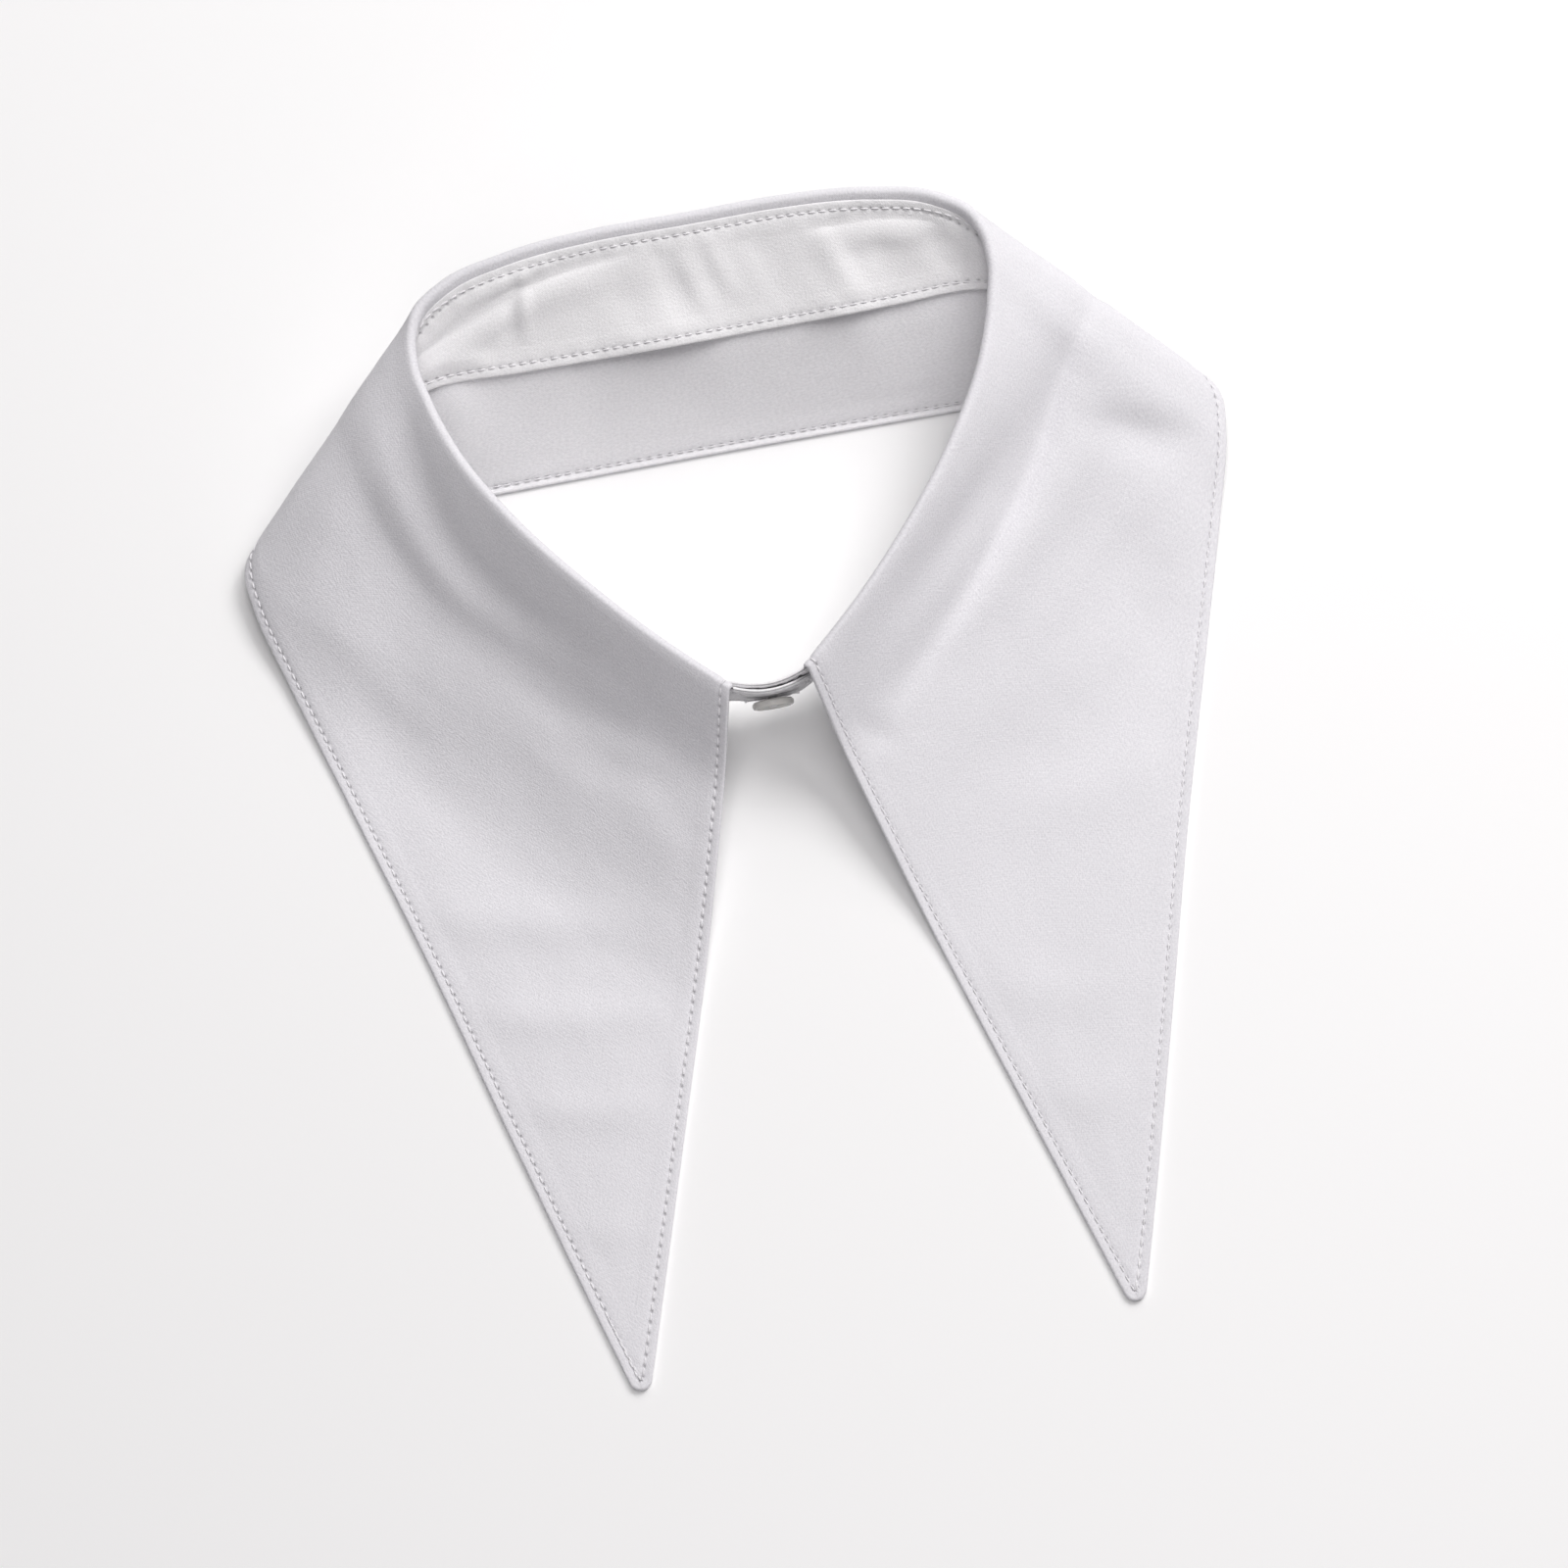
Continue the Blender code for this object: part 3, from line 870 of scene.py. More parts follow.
class Nodes:
    """Adds and links a material's nodes."""

    def __init__(self, name: str) -> None:
        """Start a material with its shader.

        Args:
            name: The material's name.
        """
        self.material = bpy.data.materials.new(name)
        self.material.use_nodes = True
        self.tree = self.material.node_tree
        self.shader = self.tree.nodes["Principled BSDF"]

    def fill(self, socket: Socket, value: object) -> None:
        """Link an input to a socket, or set it to a constant.

        Args:
            socket: The input.
            value: An output socket or a constant.
        """
        if isinstance(value, Socket):
            self.tree.links.new(value, socket)
        else:
            socket.default_value = value

    def add(self, kind: str, inputs: dict | None = None, **settings: object) -> bpy.types.Node:
        """Add a node.

        Args:
            kind: Its type, after "ShaderNode".
            inputs: Values or output sockets for its inputs, by name or number.
            settings: Its own properties.

        Returns:
            The node.
        """
        node = self.tree.nodes.new("ShaderNode" + kind)
        for key, value in settings.items():
            setattr(node, key, value)
        for key, value in (inputs or {}).items():
            self.fill(node.inputs[key], value)
        return node

    def set(self, **values: object) -> None:
        """Set or link the shader's inputs, with underscores for spaces in their names."""
        for key, value in values.items():
            self.fill(self.shader.inputs[key.replace("_", " ")], value)

    def math(self, operation: str, *values: object) -> Socket:
        """The result of one step of arithmetic on values or sockets."""
        return self.add("Math", dict(enumerate(values)), operation=operation).outputs[0]

    def map(self, name: str) -> bpy.types.Node:
        """The place on a map of the cloth, in metres, split into its two directions."""
        return self.add("SeparateXYZ", {0: self.add("UVMap", uv_map=name).outputs[0]})

    def noise(self, scale: float, detail: float, place: Socket | None = None, twist: float = 0.0) -> Socket:
        """Noise from 0 to 1, at a place or else at the object's own coordinates."""
        place = place or self.add("TexCoord").outputs["Object"]
        return self.add(
            "TexNoise", {"Vector": place, "Scale": scale, "Detail": detail, "Distortion": twist}
        ).outputs[0]

    def blend(self, share: Socket, low: object, high: Triple) -> Socket:
        """The colour low where share is 0, and high where it is 1."""
        low = (*low, 1.0) if isinstance(low, tuple) else low
        return self.add("Mix", {"Factor": share, 6: low, 7: (*high, 1.0)}, data_type="RGBA").outputs[2]

    def bump(self, height: Socket, strength: float = 1.0) -> Socket:
        """The normal of a surface with that height, in metres."""
        return self.add("Bump", {"Height": height, "Strength": strength, "Distance": 1.0}).outputs[0]


@dataclass(frozen=True)
class Grain:
    """One layer of a cloth's fine unevenness."""

    along: float  # humps a metre along the cloth
    down: float  # and down it
    height: float  # mm
    detail: float = 3.0

    def value(self, n: Nodes, cloth: bpy.types.Node) -> Socket:
        """Noise from 0 to 1 in the cloth's own directions."""
        place = {k: n.math("MULTIPLY", cloth.outputs[k], (self.along, self.down)[k]) for k in (0, 1)}
        return n.noise(1.0, self.detail, n.add("CombineXYZ", place).outputs[0])


@dataclass(frozen=True)
class CottonFinish:
    """White cotton poplin: plain weave, soft sheen, the dimples of its stitches, and painted shade in their
    needle holes.
    """

    name: str
    colour: Triple
    shade: Triple
    roughness: float = 0.62
    rough_spread: float = 0.14
    sheen: float = 0.12
    sheen_roughness: float = 0.35
    specular: float = 0.35
    weave: float = 0.42 * MM  # two threads
    weave_height: float = 0.012 * MM
    warp_slub: Grain = Grain(160, 2400, 0.03)
    weft_slub: Grain = Grain(2400, 160, 0.03)
    mottle: Grain = Grain(2000, 2000, 0.12)
    creep: Grain = Grain(70, 70, 0.3, 2.0)
    contrast: float = 3.4  # of the mottle in the colour
    slub_share: float = 0.25  # of the slub in the colour
    stitch_in: float = 2.0 * MM
    stitch: float = 2.3 * MM
    hole_width: float = 0.3 * MM
    hole_depth: float = 0.24 * MM
    # share of the painted needle-hole shade that a hole takes at its full depth
    hole_shade_share: float = 0.55
    hole_shade_colour: Triple = (0.36, 0.35, 0.37)  # painted shade: the colour that the cloth is darkened to in a needle hole

    def material(self) -> Material:
        """Build the finish's nodes.

        Returns:
            The material.
        """
        n = Nodes(self.name)
        cloth = n.map("cloth")
        turn = 2 * math.pi / self.weave
        threads = [n.math("SINE", n.math("MULTIPLY", cloth.outputs[k], turn)) for k in (0, 1)]
        height = n.math("MULTIPLY", n.math("MULTIPLY", *threads), self.weave_height)
        layers = (self.warp_slub, self.weft_slub, self.mottle, self.creep)
        values = [layer.value(n, cloth) for layer in layers]
        for layer, value in zip(layers, values):
            height = n.math("MULTIPLY_ADD", value, layer.height * MM, height)
        _, slub, mottle, _ = values
        speck = n.math("MULTIPLY_ADD", n.math("SUBTRACT", mottle, 0.5), self.contrast, 0.5)
        slub = n.math("MULTIPLY", slub, self.slub_share)
        tone = n.math("MULTIPLY_ADD", speck, 1 - self.slub_share, slub)
        rough = n.math("MULTIPLY_ADD", mottle, self.rough_spread, self.roughness - self.rough_spread / 2)
        holes = self.dimples(n, n.map("hem"))
        normal = n.bump(n.math("SUBTRACT", height, holes))
        # painted shade: the cloth's colour is darkened in its needle holes, as the shade there would darken
        # it
        hole_shade = n.math("DIVIDE", holes, self.hole_depth / self.hole_shade_share)
        colour = n.blend(hole_shade, n.blend(tone, self.shade, self.colour), self.hole_shade_colour)
        n.set(Base_Color=colour, Roughness=rough, Normal=normal, Specular_IOR_Level=self.specular)
        n.set(Sheen_Weight=self.sheen, Sheen_Roughness=self.sheen_roughness)
        return n.material

    def dimples(self, n: Nodes, hem: bpy.types.Node) -> Socket:
        """Add the needle holes between the stitches.

        Args:
            n: The material's nodes.
            hem: Gives the place along the sewn edge.

        Returns:
            Their depth in metres.
        """
        off = n.math("DIVIDE", n.math("SUBTRACT", hem.outputs[0], self.stitch_in), self.hole_width)
        band = n.math("POWER", math.e, n.math("MULTIPLY", n.math("MULTIPLY", off, off), -1.0))
        phase = n.math("MULTIPLY", hem.outputs[1], math.pi / self.stitch)
        hole = n.math("POWER", n.math("ABSOLUTE", n.math("COSINE", phase)), 6.0)
        return n.math("MULTIPLY", n.math("MULTIPLY", band, hole), self.hole_depth)


@dataclass(frozen=True)
class ThreadFinish:
    """White sewing thread, a little brighter than the cloth."""

    name: str = "sewing_thread"
    colour: Triple = (0.83, 0.82, 0.84)
    lift: float = 1.06  # painted highlight: how much paler the thread is where its fuzz stands highest

    def material(self) -> Material:
        """Build the finish's nodes.

        Returns:
            The material.
        """
        n = Nodes(self.name)
        fuzz = n.noise(6000.0, 2.0)
        # painted highlight: the colour pales with the same noise that raises the fuzz's bump
        pale = tuple(min(1.0, c * self.lift) for c in self.colour)
        normal = n.bump(n.math("MULTIPLY", fuzz, 0.05 * MM), 0.8)
        n.set(Base_Color=n.blend(fuzz, self.colour, pale), Normal=normal, Roughness=0.5, Sheen_Weight=0.2)
        return n.material


@dataclass(frozen=True)
class ButtonFinish:
    """Polished pale plastic with a faint cloud in it."""

    name: str = "button_plastic"
    colour: Triple = (0.80, 0.78, 0.74)
    cloud: Triple = (0.70, 0.69, 0.67)

    def material(self) -> Material:
        """Build the finish's nodes.

        Returns:
            The material.
        """
        n = Nodes(self.name)
        colour = n.blend(n.noise(420.0, 3.0, twist=1.2), self.colour, self.cloud)
        wear = n.noise(2600.0, 2.0)
        rough = n.math("MULTIPLY_ADD", wear, 0.12, 0.14)
        normal = n.bump(n.math("MULTIPLY", wear, 0.01 * MM), 0.5)
        n.set(Base_Color=colour, Roughness=rough, Normal=normal, Coat_Weight=0.3)
        return n.material


@dataclass(frozen=True)
class FloorFinish:
    """Plain pale paper."""

    name: str = "paper"
    colour: Triple = (0.955, 0.955, 0.955)

    def material(self) -> Material:
        """Build the finish's nodes.

        Returns:
            The material.
        """
        n = Nodes(self.name)
        normal = n.bump(n.math("MULTIPLY", n.noise(900.0, 3.0), 0.02 * MM), 0.3)
        n.set(Base_Color=(*self.colour, 1.0), Normal=normal, Roughness=0.85)
        return n.material


# A stitch's rings: place along it, height and radius, each as a share of the full one.
STITCH_RINGS = (
    (-0.5, -1.2, 0.55), (-0.36, 0.3, 0.9), (-0.16, 1.0, 1.0),
    (0.16, 1.0, 1.0), (0.36, 0.3, 0.9), (0.5, -1.2, 0.55),
)


@dataclass
class StitchRow:
    """A row of lockstitches along a line on the cloth. Sizes are in mm."""

    path: Array
    normals: Array
    pitch: float = 2.3
    fill: float = 0.8  # share of the pitch that shows as thread
    radius: float = 0.17
    rise: float = 0.13

    def tubes(self) -> tuple[Array, Array]:
        """Shape one short curved tube a stitch.

        Returns:
            The rings' centres, and their side directions, up directions and radii.
        """
        run = run_of(self.path)
        count = max(1, round(run[-1] / (self.pitch * MM)))
        pitch = run[-1] / count
        middle = (np.arange(count) + 0.5) * pitch
        ring, lift, radius = np.array(STITCH_RINGS).T
        places = middle[:, None] + ring[None, :] * pitch * self.fill
        lift, radius = lift * self.rise * MM, radius * self.radius * MM
        flat = places.ravel()
        at = np.stack([np.interp(flat, run, self.path[:, k]) for k in range(3)], axis=-1)
        up = unit(np.stack([np.interp(flat, run, self.normals[:, k]) for k in range(3)], axis=-1))
        shape = (count, len(ring), 3)
        at, up = at.reshape(shape), up.reshape(shape)
        ahead = unit(at[:, -1:] - at[:, :1]) * np.ones(shape)
        side = unit(np.cross(ahead, up))
        centres = at + up * lift[None, :, None]
        return centres, np.stack([side, up, np.broadcast_to(radius[None, :, None], shape)], axis=0)


def stitch_piece(name: str, rows: list[StitchRow]) -> Piece:
    """Make all the stitches of one face as one piece.

    Args:
        name: The piece's name.
        rows: Its rows of stitches.

    Returns:
        The piece.
    """
    sides = 6
    turns = (np.arange(sides) * 2 * math.pi / sides)[None, None, :, None]
    points, faces, used = [], [], 0
    for row in rows:
        centres, (side, up, radius) = row.tubes()
        centres, side, up, radius = (a[:, :, None] for a in (centres, side, up, radius))
        ring = centres + side * np.cos(turns) * radius + up * np.sin(turns) * radius
        count, rings = ring.shape[:2]
        index = used + np.arange(count * rings * sides).reshape(count, rings, sides)
        a, b = index[:, :-1], index[:, 1:]
        tube = np.stack([a, np.roll(a, -1, axis=2), np.roll(b, -1, axis=2), b], axis=-1)
        faces.append(tube.reshape(-1, 4))
        for cap in (index[:, 0, ::-1], index[:, -1]):
            faces += [cap[:, :4], cap[:, (0, 3, 4, 5)]]
        points.append(ring.reshape(-1, 3))
        used += count * rings * sides
    return mesh_piece(name, np.concatenate(points), np.concatenate(faces))


def dress(piece: Piece, finish: Material, node: str = "") -> None:
    """Give a piece its finish and its place in the frame.

    Args:
        piece: The piece.
        finish: Its material.
        node: The CAD node that it stands for, if it does.
    """
    piece.data.materials.clear()
    piece.data.materials.append(finish)
    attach(piece, "root")
    if node:
        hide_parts(node)
    log.info("%s: %d faces", piece.name, len(piece.data.polygons))


@dataclass(frozen=True)
class Ply:
    """One ply of a double sheet of cloth."""

    name: str
    node: str
    side: Face
    colour: Triple
    shade: Triple
    seed: int  # of its edge's pucker
    area: float  # m2
    other: str  # the ply that it rests on

    def build(self, sheet: Sheet, height: Array, turned: Turned, flat: Pair) -> Array:
        """Make the ply's shell.

        Args:
            sheet: The double sheet.
            height: The ply's face over the sheet's middle.
            turned: How the edge is turned.
            flat: Not used.

        Returns:
            The grid of the face that shows.
        """
        face = sheet.raised(height * self.side.value)
        back = sheet.raised((height - turned.thickness(sheet.hem)) * self.side.value)
        piece = solid_shell(self.name + "_cloth", face, back, self.side, sheet)
        finish = CottonFinish(self.node + "_cotton", self.colour, self.shade)
        dress(piece, finish.material(), self.node)
        return face


UPPER = Ply(
    "top_collar", "upper_collar", Face.OUT, (0.83, 0.82, 0.85), (0.72, 0.71, 0.745), 11, 0.0351,
    "under_collar",
)
# painted light: the under collar is the upper collar's cotton, coloured brighter to stand in for the light
# inside the ring
UNDER = Ply(
    "under_collar", "under_collar", Face.IN, (0.92, 0.912, 0.932), (0.82, 0.813, 0.835), 23, 0.0313,
    "top_collar",
)
# painted light: the inner stand is the same cotton, coloured brighter to stand in for the light on the
# inside of the neck
INNER = Ply(
    "inner_stand", "inner_stand", Face.IN, (0.925, 0.917, 0.93), (0.83, 0.822, 0.835), 31, 0.0079,
    "outer_stand",
)
# painted light: the outer stand is the same cotton, coloured a little brighter to stand in for light from
# the front
OUTER = Ply(
    "outer_stand", "outer_stand", Face.OUT, (0.86, 0.853, 0.868), (0.78, 0.773, 0.788), 47, 0.0079,
    "inner_stand",
)


@dataclass
class Collar:
    """The fall: the upper and the under collar, turned and topstitched."""

    form: CollarForm
    turned: Turned
    thread: Material
    seam: float = 1.1  # mm, over which the upper collar comes out from behind the stand
    seam_share: float = 0.3  # of its height left there
    flat: Pair = (0.606, 0.114)  # m
    upper_start: int = 8  # row at which the stitches start
    under_start: int = 2

    def build(self) -> None:
        """Make both plies and their stitches."""
        sheet = self.form.collar_sheet()
        tuck = np.sqrt(np.clip(1 - (1 - np.clip(sheet.down / (self.seam * MM), 0, 1)) ** 2, 0, 1))
        height = self.turned.height(sheet, UPPER.seed) * (self.seam_share + (1 - self.seam_share) * tuck)
        face = UPPER.build(sheet, height, self.turned, self.flat)
        self.stitch(UPPER, sheet, face, self.upper_start)
        first = len(STRIP_SHARES) + self.form.arc_rows - 1
        low = Sheet(*(getattr(sheet, f)[:, first:] for f in Sheet.__dataclass_fields__))
        height = self.turned.height(low, UNDER.seed)
        face = UNDER.build(low, height, self.turned, self.flat)
        self.stitch(UNDER, low, face, self.under_start)

    def stitch(self, ply: Ply, sheet: Sheet, face: Array, start: int) -> None:
        """Topstitch down one front edge, round the outer edge and up the other front edge.

        Args:
            ply: The ply.
            sheet: The collar's sheet.
            face: The face that shows.
            start: The row at which the stitches start.
        """
        reach, turn = len(HEM_STEPS) + 4, STITCH_STEP
        last = slice(None, -reach - 1, -1)
        lines = []
        for grid in (face, sheet.normals * ply.side.value):
            left = self.inside(sheet.hem[:reach], grid[:reach])
            right = self.inside(sheet.hem[last], grid[last])
            low = self.inside(sheet.hem[:, last].T, grid[:, last].swapaxes(0, 1))
            line = [left[start:-turn], low[turn:-turn], right[-turn - 1 : start : -1]]
            lines.append(np.concatenate(line))
        path, out = lines
        keep = np.concatenate([[True], np.linalg.norm(np.diff(path, axis=0), axis=1) > 0.02 * MM])
        dress(stitch_piece(ply.name + "_stitches", [StitchRow(path[keep], out[keep])]), self.thread)

    def inside(self, hem: Array, grid: Array) -> Array:
        """Find the line on a grid that stays the stitches' distance in from the edge.

        Args:
            hem: Distances in from the edge, growing down the rows.
            grid: Points, or directions, at the same places.

        Returns:
            One point a column.
        """
        distance = self.turned.stitch_in * MM
        columns = zip(hem.T, grid.transpose(1, 2, 0))
        return np.array([[np.interp(distance, h, v) for v in values] for h, values in columns])


@dataclass
class Stand:
    """The band: its two plies, stitched all round."""

    form: CollarForm
    turned: Turned
    thread: Material
    flat: Pair = (0.385, 0.046)  # m

    def build(self) -> Sheet:
        """Make both plies and their stitches.

        Returns:
            The stand's sheet.
        """
        sheet = self.form.stand_sheet()
        for ply in (INNER, OUTER):
            height = self.turned.height(sheet, ply.seed)
            face = ply.build(sheet, height, self.turned, self.flat)
            row = self.stitch_row(sheet, face, ply.side)
            dress(stitch_piece(ply.name + "_stitches", [row]), self.thread)
        return sheet

    def stitch_row(self, sheet: Sheet, face: Array, side: Face) -> StitchRow:
        """Lay the stitches all round one face, inside its edge.

        Args:
            sheet: The stand's sheet.
            face: The face that shows.
            side: Which way it is turned.

        Returns:
            The row.
        """
        inset = self.turned.stitch_in * MM
        at = sheet.along[:, 0]
        end = at.max()
        places = np.concatenate([at[np.abs(at) < end - inset], [-(end - inset), end - inset]])
        places = np.sort(places)
        top, foot, _ = self.form.stand_lines(places)
        tall = np.linalg.norm(foot - top, axis=1)
        half = 0.5 * self.form.stand_end(end - np.abs(places), inset) * (1 - 2 * inset / tall)
        upper = self.on_face(sheet, face, places, (0.5 - half) * tall)
        lower = self.on_face(sheet, face, places[::-1], ((0.5 + half) * tall)[::-1])
        path, normals = np.concatenate([upper, lower, upper[:1]]).reshape(-1, 2, 3).swapaxes(0, 1)
        return StitchRow(path, unit(normals) * side.value)

    def on_face(self, sheet: Sheet, face: Array, places: Array, downs: Array) -> Array:
        """Points on a face, by place along the stand and distance down it.

        Args:
            sheet: The stand's sheet.
            face: The face.
            places: Places along the stand.
            downs: Distances down from its top.

        Returns:
            A row for each place: the point and the sheet's normal there.
        """
        at = sheet.along[:, 0]
        values = np.concatenate([face, sheet.normals], axis=-1)
        rows = []
        for place, down in zip(places, downs):
            k = int(np.clip(np.searchsorted(at, place) - 1, 0, len(at) - 2))
            t = (place - at[k]) / (at[k + 1] - at[k])
            pair = [[np.interp(down, sheet.down[row], v) for v in values[row].T] for row in (k, k + 1)]
            near, far = np.array(pair)
            rows.append(near * (1 - t) + far * t)
        return np.array(rows)


@dataclass(frozen=True)
class Spot:
    """A place on the cloth with its own axes: along the stand, up it and out of it."""

    middle: Array
    turn: Array  # the axes, as columns

    def of(self, points: Array) -> Array:
        """Points in mm about the spot, as points in metres in the scene."""
        return points * MM @ self.turn.T + self.middle


@dataclass
class Closure:
    """The button on the inner stand end, through its buttonhole in the outer one. Sizes in mm."""

    stand: Stand
    radius: float = 4.5
    thick: float = 1.7
    hole: float = 0.55
    hole_out: float = 1.05
    slit: float = 11.0
    bar: float = 1.3
    shank: float = 0.7
    segments: int = 64
    sharp: float = 38.0  # degrees, from which an edge of the button is sharp

    def build(self, sheet: Sheet) -> None:
        """Make the button, its thread and the buttonhole.

        Args:
            sheet: The stand's sheet.
        """
        height = self.stand.turned.height(sheet, OUTER.seed)
        face = sheet.raised(height)
        left = np.flatnonzero(sheet.along[:, 0] < 0.75 * sheet.along[0, 0])
        middle = sheet.points.shape[1] // 2
        station = left[np.argmin(np.abs(face[left, middle, 0]))]
        spot, out = face[station, middle], sheet.normals[station, middle]
        along = unit(face[station + 2, middle] - face[station - 2, middle])
        up = unit(np.cross(out, along))
        along = np.cross(up, out)
        turn = np.stack([along, up, out], axis=1)
        centre = Spot(spot + out * (self.shank + self.thick / 2) * MM, turn)
        dress(self.button(centre), ButtonFinish().material(), "button")
        dress(self.sewing(centre), self.stand.thread)
        dress(self.buttonhole(Spot(spot, turn)), self.stand.thread)

    def profile(self) -> Array:
        """Half a section of the button, from its back to its front.

        Returns:
            Distance out and height of each point, in mm.
        """
        r, t = self.radius, self.thick / 2
        return np.array(
            [(0, -t), (r * 0.72, -t), (r * 0.9, -t * 0.86), (r * 0.985, -t * 0.45), (r, 0.0)]
            + [(r * 0.985, t * 0.5), (r * 0.94, t * 0.86), (r * 0.86, t), (r * 0.78, t * 0.94)]
            + [(r * 0.7, t * 0.55), (r * 0.6, t * 0.36), (r * 0.3, t * 0.3), (0, t * 0.3)]
        )

    def button(self, centre: Spot) -> Piece:
        """Turn the button's section and drill its four holes.

        Args:
            centre: The button's middle.

        Returns:
            The piece.
        """
        angles = np.arange(self.segments) * 2 * math.pi / self.segments
        out, up = (self.profile()[1:-1] * MM).T[:, :, None]
        ring = np.stack([out * np.cos(angles), out * np.sin(angles), up + 0 * angles], axis=-1)
        index = np.arange(ring[..., 0].size).reshape(ring.shape[:2])
        a, b = index[:-1], index[1:]
        quads = np.stack([a, np.roll(a, -1, axis=1), np.roll(b, -1, axis=1), b], axis=-1).reshape(-1, 4)
        mesh = bpy.data.meshes.new("front_button")
        faces = [*quads.tolist(), index[0, ::-1].tolist(), index[-1].tolist()]
        mesh.from_pydata(ring.reshape(-1, 3).tolist(), [], faces)
        piece = linked("front_button", mesh)
        cutters = []
        for sx, sy in ((1, 1), (1, -1), (-1, 1), (-1, -1)):
            bpy.ops.mesh.primitive_cylinder_add(
                vertices=24, radius=self.hole * MM, depth=4 * self.thick * MM,
                location=(sx * self.hole_out * MM, sy * self.hole_out * MM, 0),
            )
            cutters.append(bpy.context.object)
            cut = piece.modifiers.new("hole", "BOOLEAN")
            cut.object, cut.solver = cutters[-1], "EXACT"
        graph = bpy.context.evaluated_depsgraph_get()
        drilled = bpy.data.meshes.new_from_object(piece.evaluated_get(graph))
        piece.modifiers.clear()
        for cutter in cutters:
            bpy.data.objects.remove(cutter, do_unlink=True)
        points = np.empty(len(drilled.vertices) * 3)
        drilled.vertices.foreach_get("co", points)
        points = points.reshape(-1, 3) @ centre.turn.T + centre.middle
        drilled.vertices.foreach_set("co", points.ravel())
        piece.data = drilled
        drilled.shade_smooth()
        drilled.set_sharp_from_angle(angle=math.radians(self.sharp))
        return piece

    def sewing(self, centre: Spot) -> Piece:
        """Sew threads across the button's holes and down to the cloth.

        Args:
            centre: The button's middle.

        Returns:
            The piece.
        """
        rows = []
        hole, front, back = self.hole_out, self.thick * 0.15 + 0.1, -self.thick / 2 - self.shank
        along, _, out = centre.turn.T
        for side in (-1, 1):
            for shift in (-0.22, 0.0, 0.22):
                line = np.array([(x, side * hole + shift, front) for x in np.linspace(-hole, hole, 9)])
                rows.append(self.strand(centre.of(line), out, 0.13))
            for other in (-1, 1):
                line = np.array([(other * hole, side * hole, z) for z in np.linspace(back, front, 6)])
                rows.append(self.strand(centre.of(line), along, 0.3))
        return stitch_piece("button_thread", rows)

    def strand(self, line: Array, up: Array, radius: float) -> StitchRow:
        """One strand of thread along a line."""
        length = float(run_of(line)[-1]) / MM
        return StitchRow(line, np.tile(up, (len(line), 1)), length, 1.0, radius, 0.08)

    def buttonhole(self, spot: Spot) -> Piece:
        """Sew close zigzag stitches on both sides of the slit, with a bar at each end.

        Args:
            spot: The slit's middle, on the cloth.

        Returns:
            The piece.
        """
        half, out = self.slit / 2, spot.turn[:, 2]
        lines = []
        for x in np.arange(-half, half, 0.3):
            for side in (-1, 1):
                lines.append(((x, side * 0.15, 0.02), (x + 0.08, side * (0.15 + self.bar), 0.02), 0.14))
        for x in (-half - 0.25, -half, half, half + 0.25):
            lines.append(((x, -self.bar, 0.1), (x, self.bar, 0.1), 0.2))
        rows = [self.strand(spot.of(np.array([a, b])), out, radius) for a, b, radius in lines]
        return stitch_piece("buttonhole", rows)


@dataclass(frozen=True)
class Lamp:
    """A square soft light that faces the collar."""

    name: str
    place: Triple  # m
    size: float  # m
    power: float  # W
    colour: Triple

    def hang(self) -> None:
        """Add it to the scene."""
        data = bpy.data.lights.new(self.name, "AREA")
        data.size, data.energy, data.color = self.size, self.power, self.colour
        lamp = linked(self.name, data)
        lamp.location = self.place
        lamp.rotation_euler = (-Vector(self.place)).to_track_quat("-Z", "Y").to_euler()


LAMPS = (
    Lamp("key", (0.86, 0.58, 1.10), 0.70, 10.2, (1.0, 0.985, 0.98)),
    Lamp("window", (0.45, 0.95, 0.95), 1.0, 8.0, (1.0, 0.99, 0.985)),
    Lamp("top", (0.10, 0.10, 1.50), 0.8, 6.0, (1.0, 0.98, 0.985)),
    Lamp("front", (-0.10, -0.90, 1.25), 0.9, 3.8, (1.0, 0.968, 0.985)),
)


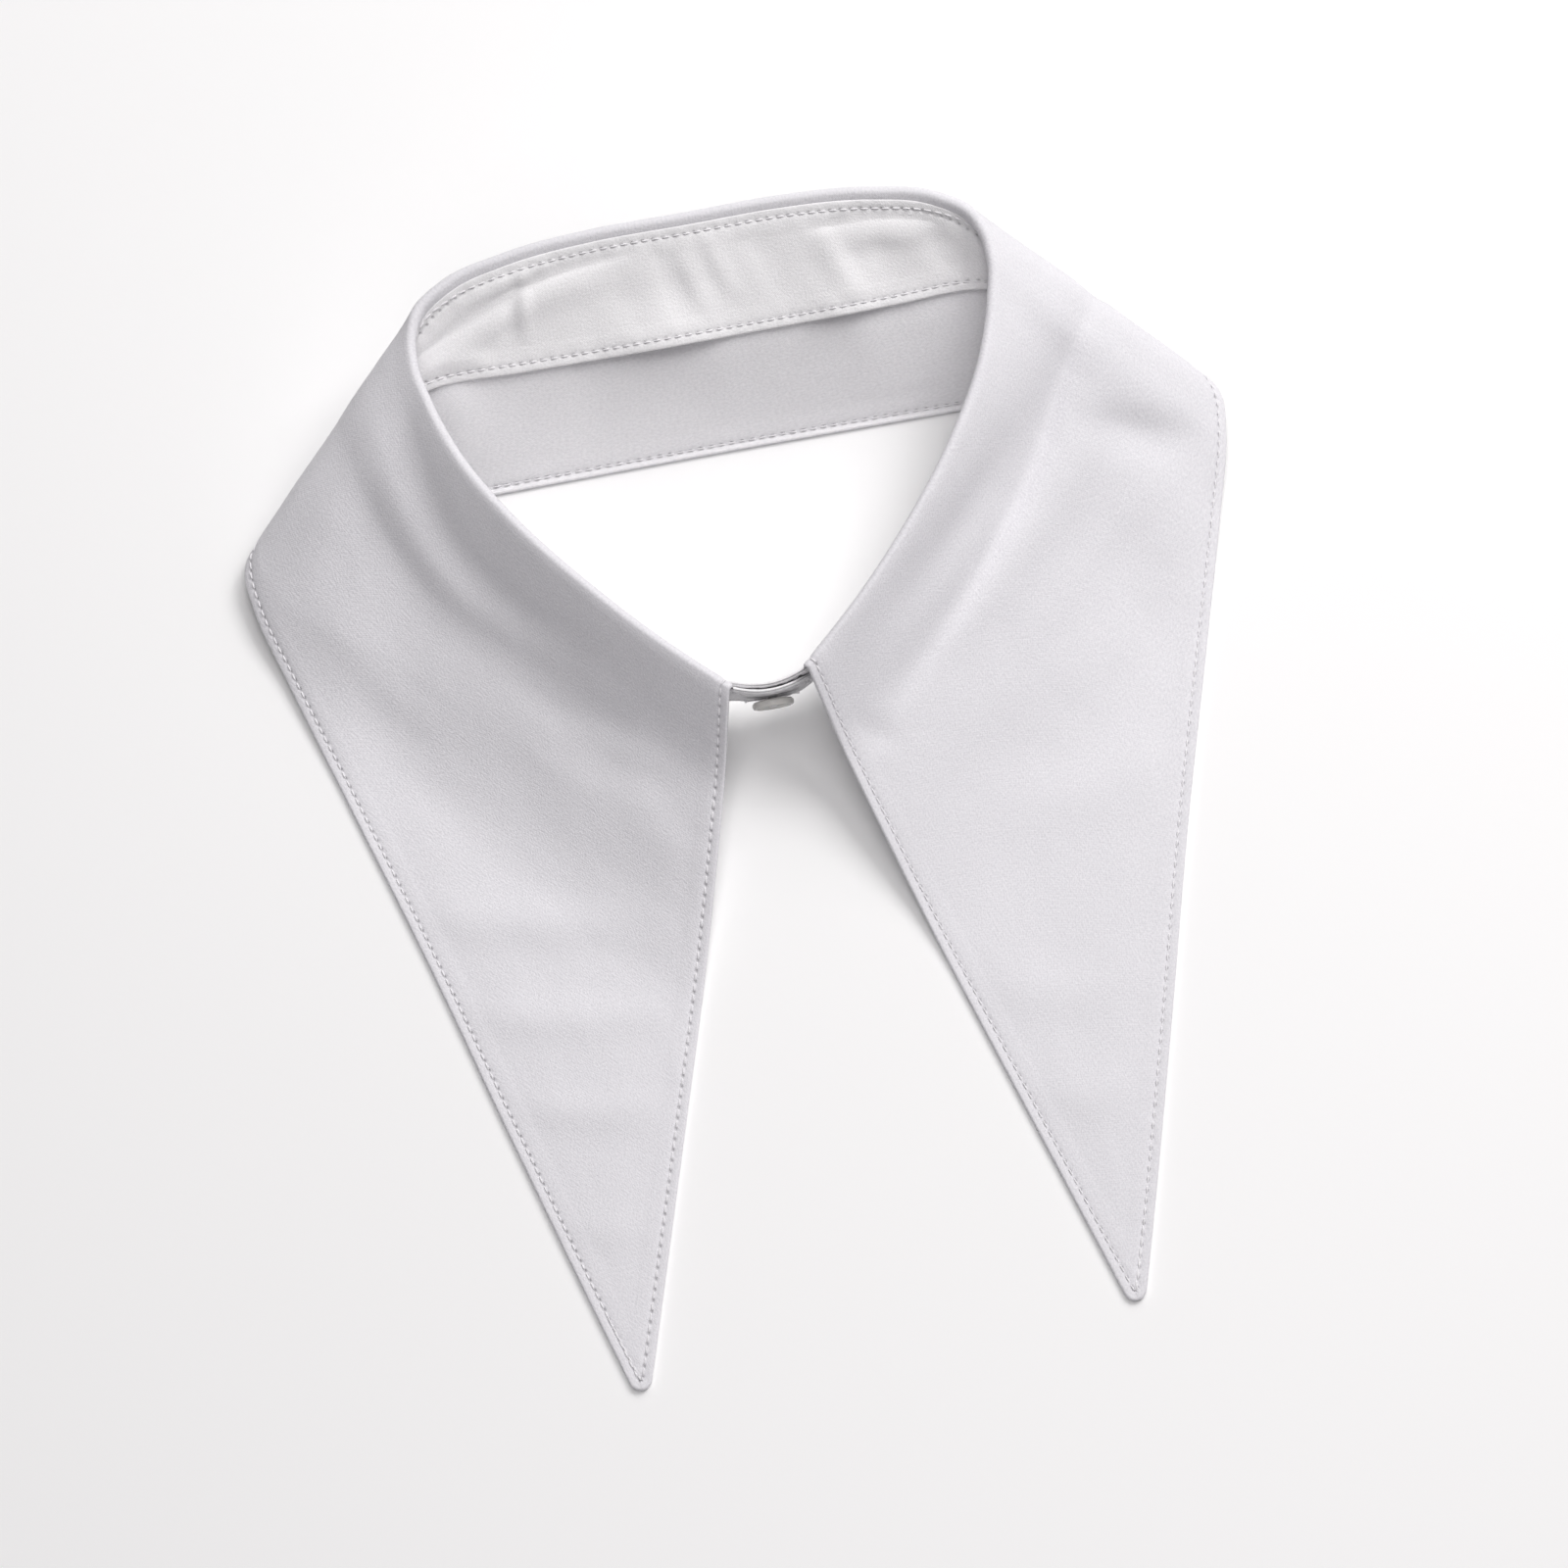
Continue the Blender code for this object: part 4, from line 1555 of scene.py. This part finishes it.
@dataclass
class Studio:
    """A pale sheet of paper, soft light from behind, above and in front, and the camera."""

    target: Triple = (-0.8, -2.8, 10.0)  # mm
    rise: float = 70.0  # degrees
    roll: float = -10.28
    distance: float = 925.0  # mm
    lens: float = 100.0
    paper_half: float = 4.0  # m
    room: tuple[float, float, float, float] = (0.97, 0.98, 1.0, 1.0)
    room_light: float = 0.085

    def build(self) -> None:
        """Lay the paper, hang the lamps and set up the camera."""
        self.paper()
        for lamp in LAMPS:
            lamp.hang()
        world = bpy.data.worlds.new("room")
        world.use_nodes = True
        background = world.node_tree.nodes["Background"]
        background.inputs[0].default_value = self.room
        background.inputs[1].default_value = self.room_light
        bpy.context.scene.world = world
        bpy.context.scene.view_settings.view_transform = "Standard"
        self.camera()

    def paper(self) -> None:
        """Lay a wide sheet for the collar to rest on."""
        corners = ((-1, -1, 0), (1, -1, 0), (1, 1, 0), (-1, 1, 0))
        sheet = mesh_piece("paper", np.array(corners) * self.paper_half, np.array([[0, 1, 2, 3]]))
        sheet.data.materials.append(FloorFinish().material())

    def camera(self) -> None:
        """Set up the camera, high in front of the collar and tilted a little."""
        rise, roll = math.radians(self.rise), math.radians(self.roll)
        back = np.array([0.0, -math.cos(rise), math.sin(rise)])
        right = np.array([1.0, 0.0, 0.0])
        up = np.cross(back, right)
        matrix = np.eye(4)
        matrix[:3, 0] = right * math.cos(roll) + up * math.sin(roll)
        matrix[:3, 1] = up * math.cos(roll) - right * math.sin(roll)
        matrix[:3, 2] = back
        matrix[:3, 3] = (np.array(self.target) + back * self.distance) * MM
        data = bpy.data.cameras.new("camera")
        data.lens, data.sensor_width = self.lens, 36.0
        camera = linked("camera", data)
        camera.matrix_world = Matrix(matrix.tolist())
        bpy.context.scene.camera = camera


def main() -> None:
    """Build the collar, its stand, its button and the studio."""
    logging.basicConfig(level=logging.INFO, format="%(name)s: %(message)s")
    form, turned = CollarForm(), Turned()
    thread = ThreadFinish().material()
    Collar(form, turned, thread).build()
    stand = Stand(form, turned, thread)
    Closure(stand).build(stand.build())
    Studio().build()


if __name__ == "__main__":
    main()
